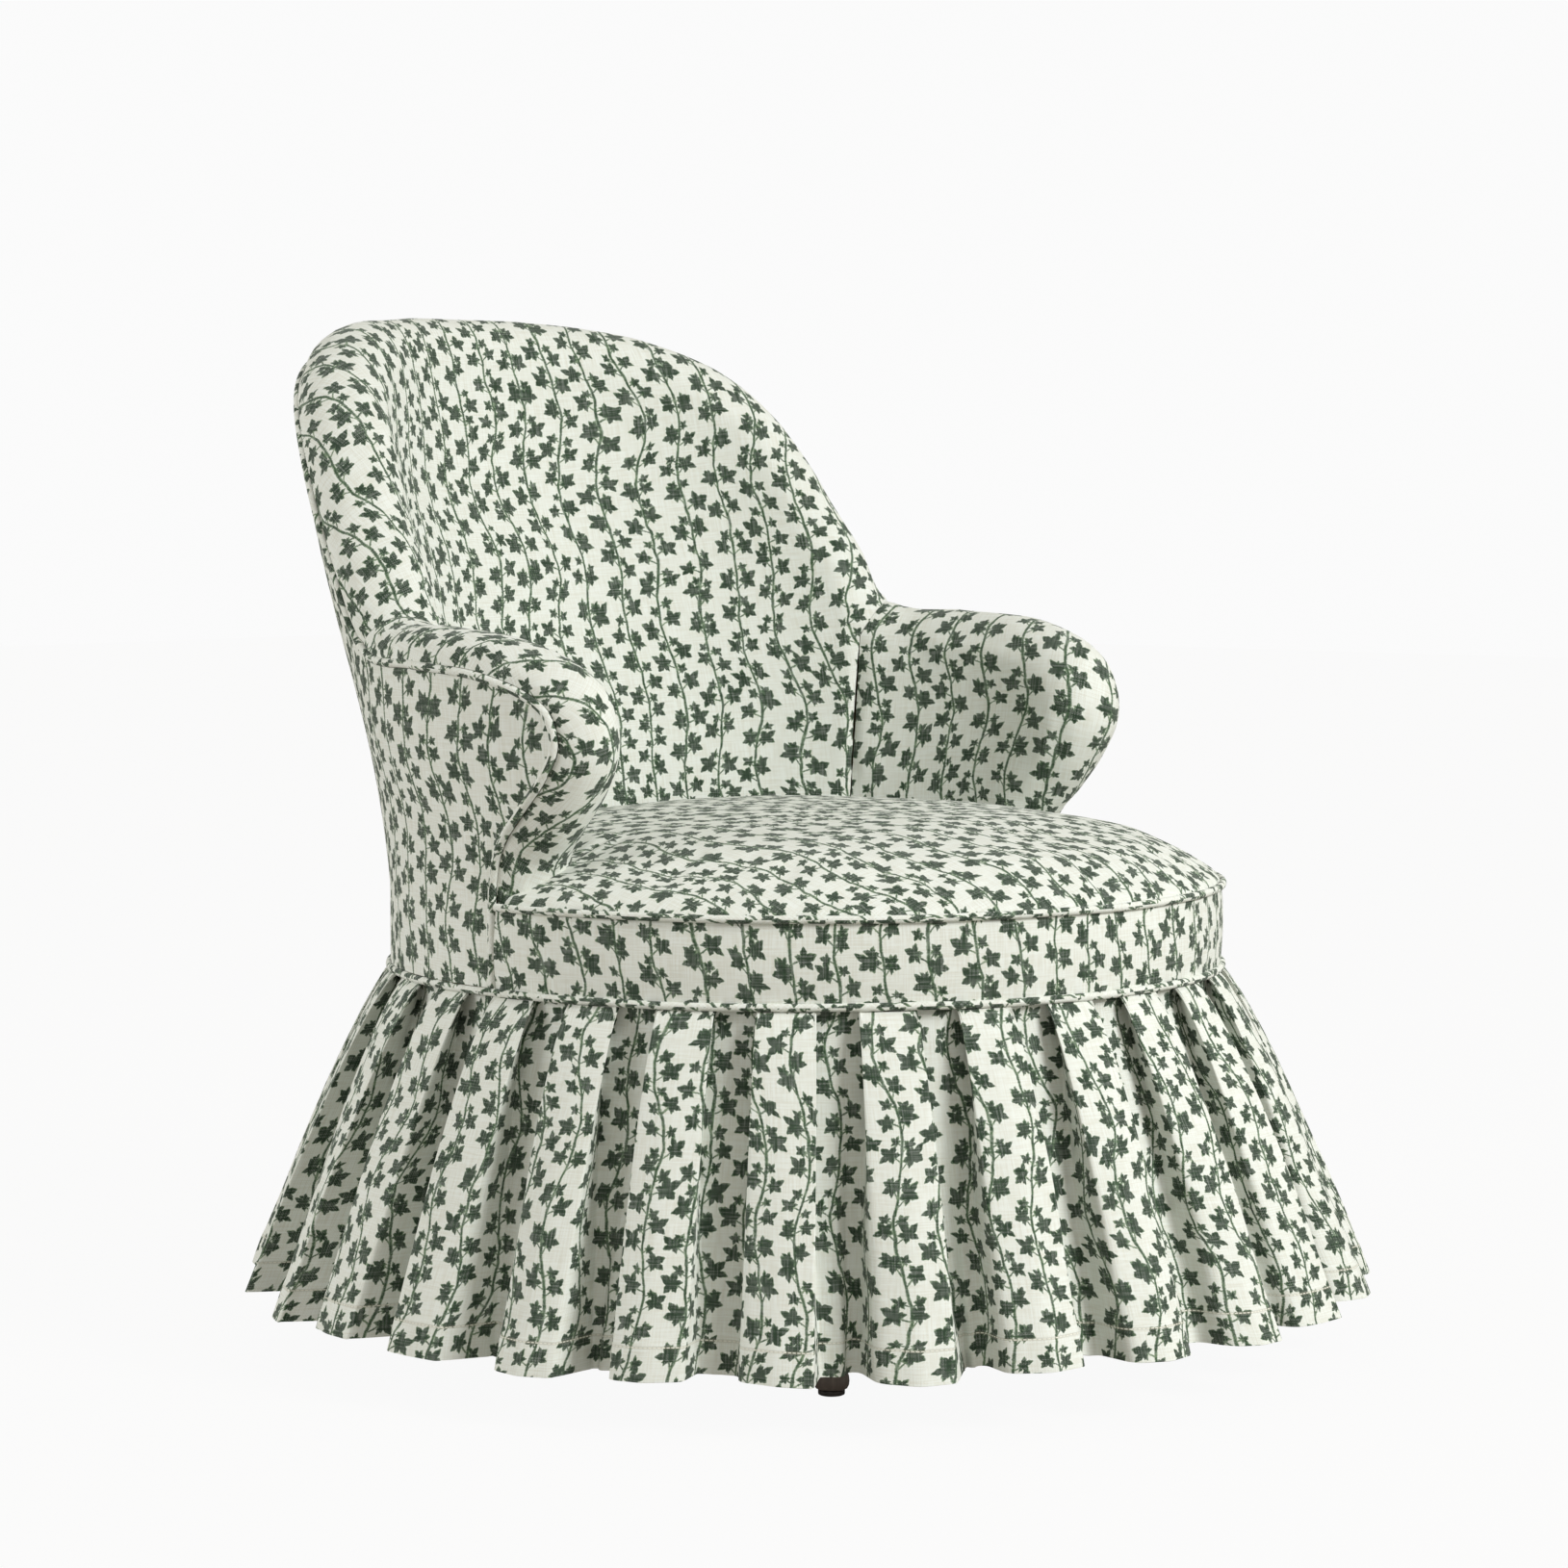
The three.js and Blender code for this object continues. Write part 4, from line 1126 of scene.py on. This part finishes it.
def round_cloth(name, node, material):
    """A round sheet with a turned-in hem."""
    box_low, box_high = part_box(node)
    radius, low, high = box_high[0], box_low[2], box_high[2]
    angles = round_angles(CLOTH_SIDES)[:, None]
    share = shares(26)[None]
    ripple = 0.2 * (high - low) * np.sin(angles * 24) * share**6
    hollow = 0.3 * (high - low) * (1 - share**8)
    top = at_angle(angles, high - ripple, radius * share)
    bottom = at_angle(angles, low - ripple + hollow, radius * share)
    cloth = dress(slab_object(name, top, bottom, material, closed=True), node)
    return cloth


def cut_openings(obj, nodes, margin):
    """Cuts a hole in a flat cloth round each node, a square that stands on its corner in plan."""
    diamond = ((1, 0), (0, 1), (-1, 0), (0, -1))
    for node in nodes:
        low, high = np.array(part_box(node))
        middle, half = (low + high) / 2, (high - low) / 2 + margin
        corners = [middle + half * (x, y, z) for z in (-OPENING_REACH, OPENING_REACH) for x, y in diamond]
        sides = [(i, (i + 1) % 4, (i + 1) % 4 + 4, i + 4) for i in range(4)]
        cutter = mesh_object("opening", corners, [(3, 2, 1, 0), (4, 5, 6, 7)] + sides)
        cut = obj.modifiers.new("opening", "BOOLEAN")
        cut.operation = "DIFFERENCE"
        cut.object = cutter
        apply_modifiers(obj)
        bpy.data.objects.remove(cutter)


def strap(node, crossing):
    low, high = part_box(node)
    along, beside = (1, 0) if crossing else (0, 1)
    length = high[along] - low[along]
    middle = (high[beside] + low[beside]) / 2
    width = high[beside] - low[beside]
    run, side = np.meshgrid(shares(160), np.linspace(-0.5, 0.5, 12), indexing="ij")
    beside_run = middle + side * width * (1 - 0.01 * np.cos(run * 40))
    spots = np.stack([lerp(low[along], high[along], run), beside_run], axis=-1)
    if crossing:
        spots = spots[..., ::-1]
    wave = STRAP_WAVE * np.cos(run * length * TURN / STRAP_WAVE_LENGTH)
    rib = STRAP_RIB * np.cos(side * TURN * 6)
    top = np.concatenate([spots, (high[2] - STRAP_FACE + wave + rib)[..., None]], axis=-1)
    bottom = np.concatenate([spots, (low[2] + STRAP_FACE + wave - rib)[..., None]], axis=-1)
    made = dress(slab_object(node + "_jute", top, bottom, WEBBING), node)


def wadding_ring():
    low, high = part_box("band_padding")
    radius = SEAT_RADIUS - BAND_WADDING_DEPTH
    angles = round_angles(180)[:, None]
    height = np.linspace(low[2] + WADDING_MARGIN, high[2] - WADDING_MARGIN, 8)[None]
    inner, outer = (at_angle(angles, height, reach) for reach in (radius, radius + WADDING_THICKNESS))
    outer = pushed(outer, softness(outer, *WADDING_WAVES), closed=True)
    made = slab_object("band_wadding", outer, inner, WADDING, closed=True)
    dress(made, "band_padding")


def outside_wadding():
    place = (shares(220)[:, None], *edge_rows(WADDING_INSET, LAYER_ROWS))
    sizes = (OUTSIDE_WADDING_DEPTH, WADDING_THICKNESS)
    made = shell_layer("outside_wadding", place, *sizes, WADDING, "wadding", "outside_padding")


hessian_layer("back_hessian_cloth", *BACK_SPAN, 120, "back_hessian")
for hand, span in ARM_SPANS.items():
    hessian_layer("arm_hessian_cloth_" + hand, *span, 70, "arm_hessian_" + hand)
outside_wadding()
wadding_ring()
for number in range(1, 5):
    strap(f"webbing_across_{number}", False)
    strap(f"webbing_along_{number}", True)
round_cloth("platform_hessian", "platform_cloth", HESSIAN)
dust_cover = round_cloth("dust_cover_cloth", "dust_cover", DUST_CLOTH)
cut_openings(dust_cover, [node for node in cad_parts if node.startswith("leg_plate")], CLEARANCE)


# Legs: radius and height of each turned step, in millimetres
LEG_PROFILE = [
    (0, 4.3), (9.6, 4.3), (11.8, 5.2), (13, 7.4), (13.4, 10.5), (13, 14), (11.9, 17.2), (11.2, 19),
    (11.6, 20.2), (11.6, 21.6), (11.1, 22.8), (10.9, 25), (11.2, 32), (12.6, 70), (15, 130), (17.8, 190),
    (20.2, 238), (20.8, 247), (20.2, 250), (21.6, 252.2), (22.4, 255), (21.8, 257.6), (20.9, 258.6), (23, 260.2),
    (24, 262.4), (24, 266.4), (0, 266.4),
]
GLIDE_PROFILE = [(0, 0), (8.6, 0), (9.7, 0.5), (10, 1.3), (10, 3.6), (9.7, 4), (0, 4)]
LEG_SIDES = 48
RIGID_LOOKS = dict(
    leg_plate=STEEL, leg_bolt=STEEL, seat_rail=FRAME_WOOD, back_hoop=FRAME_WOOD, back_post=FRAME_WOOD,
    arm_post=FRAME_WOOD, arm_rail=FRAME_WOOD, skirt_tack_strip=BOARD,
)


def turned_piece(name, profile, place, material, node):
    """A shape turned on the lathe, standing at a place in plan."""
    angles = round_angles(LEG_SIDES)
    radius, height = (np.array(v) * MM for v in zip(*profile[::-1]))
    points = np.stack([
        place[0] + np.outer(np.cos(angles), radius), place[1] + np.outer(np.sin(angles), radius),
        np.broadcast_to(height, (LEG_SIDES, len(height))),
    ], axis=-1)
    uv = np.zeros((LEG_SIDES + 1, len(height), 2))
    made = grid_surface(name, [(points, uv, True)], material)
    outward_faces(made)
    smooth_with_sharp_edges(made, TURNED_SHARP_ANGLE)
    dress(made, node)


for corner in ("rear_left", "front_left", "front_right", "rear_right"):
    leg_low, leg_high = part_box("leg_" + corner)
    middle = (leg_low + leg_high) / 2
    turned_piece(f"leg_{corner}_turned", LEG_PROFILE, middle, LEG_WOOD, "leg_" + corner)
    turned_piece(f"leg_glide_{corner}_disc", GLIDE_PROFILE, middle, GLIDE, "leg_glide_" + corner)

for node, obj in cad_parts.items():
    for start, material in RIGID_LOOKS.items():
        if node.startswith(start):
            obj.data.materials.clear()
            obj.data.materials.append(material)


# Skirt
PLEATS = 28
PANEL_SHARE = 0.6
HEM_PANEL_SHARE = 0.53
PLEAT_CLOTH = 153 * MM
SKIRT_CLOTH = 1.3 * MM
TOP_DEPTH = 4.4 * MM
HEM_DEPTH = 36 * MM
FLARE_POWER = 0.8
DEPTH_POWER = 0.38
LEAN_OUT = 3 * MM
STRIP_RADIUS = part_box("skirt_tack_strip")[1][0]
HABIT_SEED = 12
HABIT_SPREADS = dict(deep=0.22, wide=0.16, full=0.8, sway=5 * MM, tilt=6 * MM, out=3 * MM, rise=3 * MM)
CORNER_SHARE = 0.45
CORNER_STEPS = 7
FLAT_STEPS = 5
TOP_BULGE = 0.4 * MM
HEM_BULGE = 6 * MM
LEFT_ROUNDING = (0.8 * MM, 3.5 * MM)
RIGHT_ROUNDING = (1.2 * MM, 9 * MM)
HEM_WAVE = 1.2 * MM
HEM_FOLD = 0.6 * MM
HEM_STEP = 1.2 * MM
SKIRT_SHARP_ANGLE = 70
SKIRT_WAVES = (42 * MM, 3.4 * MM, 21)
WAVE_STRETCH = 0.45
WAVE_POWER = 1.3


def rounded(corners, cut):
    """A smooth way past corners: straight runs, and a curve within a distance of each inner corner."""
    way = [corners[0][None]]
    share = shares(CORNER_STEPS)[:, None, None]
    at = corners[0]
    for before, corner, after in zip(corners, corners[1:], corners[2:]):
        come, go = corner - before, after - corner
        near = [lengths(v) for v in (come, go)]
        enter = corner - come * np.minimum(cut / near[0], CORNER_SHARE)
        leave = corner + go * np.minimum(cut / near[1], CORNER_SHARE)
        run = shares(FLAT_STEPS + 1)[1:-1, None, None]
        way.append(lerp(at, enter, run))
        way.append((1 - share) ** 2 * enter + 2 * share * (1 - share) * corner + share**2 * leave)
        at = leave
    way.append(lerp(at, corners[-1], shares(FLAT_STEPS + 1)[1:, None, None]))
    return np.concatenate(way)


def skirt_row(down, habits):
    """Points of one level of the skirt, as angle and radius, and the count of points in a pleat."""
    radius = SEAT_RADIUS + (HEM_RADIUS - SEAT_RADIUS) * down**FLARE_POWER
    half_pitch = TURN / PLEATS / 2 * radius
    depth = lerp(TOP_DEPTH, HEM_DEPTH, down**DEPTH_POWER) * (1 + habits["deep"] * down)
    depth = np.minimum(depth, radius - STRIP_RADIUS - SKIRT_CLOTH)
    wide = 1 + habits["wide"] * smoothstep(down, 0, 0.7)
    half = lerp(PANEL_SHARE, HEM_PANEL_SHARE, down) * half_pitch * wide
    spare = PLEAT_CLOTH / 2 - half_pitch
    under = (spare**2 - depth**2) / (2 * spare)
    bulge = lerp(TOP_BULGE, HEM_BULGE, down) * (1 + habits["full"])
    sway = habits["sway"] * down
    tilt = (habits["tilt"] - LEAN_OUT) * down
    zero = 0 * depth
    corners = [
        (zero - half_pitch, depth), (sway - half + under, depth), (sway - half, tilt),
        (sway + zero, -bulge), (sway + half, -tilt), (sway + half - under * lerp(1, 0.4, down), depth),
        (zero + half_pitch, depth),
    ]
    corners = [np.stack(c, axis=-1) for c in corners]
    softer = smoothstep(down, 0.1, 1.0)
    left = rounded(corners[:4], lerp(*LEFT_ROUNDING, softer))
    right = rounded(corners[3:], lerp(*RIGHT_ROUNDING, softer))
    way = np.concatenate([left, right[1:-1]])
    middle = np.arange(PLEATS) * TURN / PLEATS
    angle = (middle + way[..., 0] / radius).T.ravel()
    out = (radius - way[..., 1] + habits["out"] * down).T.ravel()
    return angle, out, len(way)


def skirt_levels():
    """Shares of the way down, closer at the top and at the hem."""
    top = np.linspace(0, 0.16, 10)
    body = np.linspace(0.16, 0.86, 28)[1:]
    hem = np.linspace(0.86, 1, 16)[1:]
    return np.concatenate([top, body, hem])


def skirt_habits():
    """How each pleat differs from the next one."""
    chance = np.random.default_rng(HABIT_SEED)
    return {name: chance.uniform(-size, size, PLEATS) for name, size in HABIT_SPREADS.items()}


def smooth_round(values, reach=6):
    """Evens out the steps between neighbouring pleats."""
    kernel = np.hanning(2 * reach + 3)[1:-1]
    kernel /= kernel.sum()
    padded = np.concatenate([values[-reach - 1:], values, values[:reach + 1]])
    return np.convolve(padded, kernel, "same")[reach + 1:-reach - 1]


def skirt_cloth_run(row, count):
    """How far along the cloth each point of a level is, with the pleats cut from equal lengths."""
    steps = np.linalg.norm(np.roll(row, -1, axis=0) - row, axis=1).reshape(PLEATS, count)
    share = np.hstack([np.zeros((PLEATS, 1)), np.cumsum(steps, axis=1)]) / steps.sum(axis=1, keepdims=True)
    run = (np.arange(PLEATS)[:, None] + share[:, :-1]).ravel()
    return np.concatenate([run, [PLEATS]]) * PLEAT_CLOTH


def skirt_points():
    habits = skirt_habits()
    rows, runs = [], []
    for down in skirt_levels():
        angle, out, count = skirt_row(down, habits)
        rise = np.repeat(habits["rise"], count) * down
        wave = HEM_WAVE * np.sin(angle * 9 + 2) * down
        above_hem = (1 - down) * (SKIRT_TOP - HEM_HEIGHT)
        fold = HEM_FOLD * smoothstep(above_hem, HEM_LINE + HEM_STEP, HEM_LINE)
        height = lerp(SKIRT_TOP, HEM_HEIGHT, down) + smooth_round(rise) + wave
        row = at_angle(angle, height, smooth_round(out, 1) + fold)
        rows.append(row)
        runs.append(skirt_cloth_run(row, count))
    return np.stack(rows, axis=1), np.stack(runs, axis=1)


def skirt_waves(points):
    """Slow waves down the cloth, stronger towards the hem."""
    down = np.clip((SKIRT_TOP - points[..., 2]) / (SKIRT_TOP - HEM_HEIGHT), 0, 1)
    lift = softness(points * [1, 1, WAVE_STRETCH], *SKIRT_WAVES) * down**WAVE_POWER
    outward = points * [1, 1, 0] / lengths(points[..., :2])
    return points + outward * lift[..., None]


def make_skirt():
    points, runs = skirt_points()
    points = skirt_waves(points)
    drop = np.broadcast_to(-skirt_levels() * SKIRT_SLANT, runs.shape)
    uv = np.stack([runs, drop], axis=-1)
    cloth = grid_surface("skirt_linen", [(points, uv, True)], SKIRT_LINEN)
    return dress(finished(cloth, SKIRT_CLOTH, SKIRT_SHARP_ANGLE), "skirt")


skirt = make_skirt()


# Stage, camera and lamps
PHOTO_SIZE = 1629
PHOTO_FOCAL = 4581
HORIZON_ROW = 500
SENSOR = 36.0
VIEW_ANGLE = math.radians(49)
VIEW_DISTANCE = 3.5
VIEW_HEIGHT = 0.674
VIEW_YAW = -0.0049
FLOOR_REACH = 12.0
FLOOR_COLOUR = (0.38, 0.355, 0.32, 1)
FLOOR_WHITENESS = 0.94
AMBIENT = (1.0, 0.955, 0.885, 1)
AMBIENT_STRENGTH = 0.5
BACKDROP_STRENGTH = 0.962
LAMP_TARGET = (0, 0, 0.4)
LAMPS = dict(key=((0.35, -3.2, 2.15), 1.3, 103), fill=((-2.8, 1.7, 1.1), 1.6, 39))


def look_along(obj, direction):
    obj.rotation_euler = direction.to_track_quat("-Z", "Y").to_euler()


def make_camera():
    pitch = math.atan((PHOTO_SIZE / 2 - HORIZON_ROW) / PHOTO_FOCAL)
    ahead = Vector((math.sin(VIEW_ANGLE), math.cos(VIEW_ANGLE), 0))
    right = Vector((math.cos(VIEW_ANGLE), -math.sin(VIEW_ANGLE), 0))
    turned = ahead * math.cos(VIEW_YAW) + right * math.sin(VIEW_YAW)
    data = bpy.data.cameras.new("photo_view")
    data.sensor_width = SENSOR
    data.lens = PHOTO_FOCAL / PHOTO_SIZE * SENSOR
    camera = add_object("photo_view", data)
    camera.location = -ahead * VIEW_DISTANCE + Vector((0, 0, VIEW_HEIGHT))
    look_along(camera, turned * math.cos(pitch) - Vector((0, 0, 1)) * math.sin(pitch))
    bpy.context.scene.camera = camera


def area_lamp(name, place, size, power):
    data = bpy.data.lights.new(name, "AREA")
    data.shape = "DISK"
    data.size = size
    data.energy = power
    lamp = add_object(name, data)
    lamp.location = place
    look_along(lamp, Vector(LAMP_TARGET) - Vector(place))


def make_floor():
    """A pale floor that the camera sees as near white, with the chair's shadow."""
    material, graph, shader = new_material("studio_floor")
    graph.fill(shader, {"Base Color": FLOOR_COLOUR, "Roughness": 0.9})
    seen = graph.field("LightPath", output="Is Camera Ray") * FLOOR_WHITENESS
    surface = graph.field("MixShader", [seen, Field(graph, shader.outputs[0]), graph.field("Emission")])
    graph.fill(graph.tree.nodes["Material Output"], {"Surface": surface})
    corners = [(x * FLOOR_REACH, y * FLOOR_REACH, 0) for x, y in ((-1, -1), (1, -1), (1, 1), (-1, 1))]
    mesh_object("studio_floor", corners, [(0, 1, 2, 3)], material=material)


def make_world():
    """Soft warm light all round, which rays from the camera, gloss and glass see as near white."""
    world = bpy.data.worlds.new("studio")
    bpy.context.scene.world = world
    world.use_nodes = True
    graph = Graph(world.node_tree)
    kinds = ("Camera", "Glossy", "Transmission")
    camera, gloss, glass = (graph.field("LightPath", output=f"Is {kind} Ray") for kind in kinds)
    direct = graph.math("MAXIMUM", camera, graph.math("MAXIMUM", gloss, glass))
    strength = direct * (BACKDROP_STRENGTH - AMBIENT_STRENGTH) + AMBIENT_STRENGTH
    colour = graph.mix(direct, AMBIENT, (1, 1, 1, 1))
    graph.fill(world.node_tree.nodes["Background"], dict(Color=colour, Strength=strength))


make_camera()
make_floor()
make_world()
for lamp_name, lamp_setting in LAMPS.items():
    area_lamp(lamp_name, *lamp_setting)
bpy.context.scene.view_settings.view_transform = "Standard"
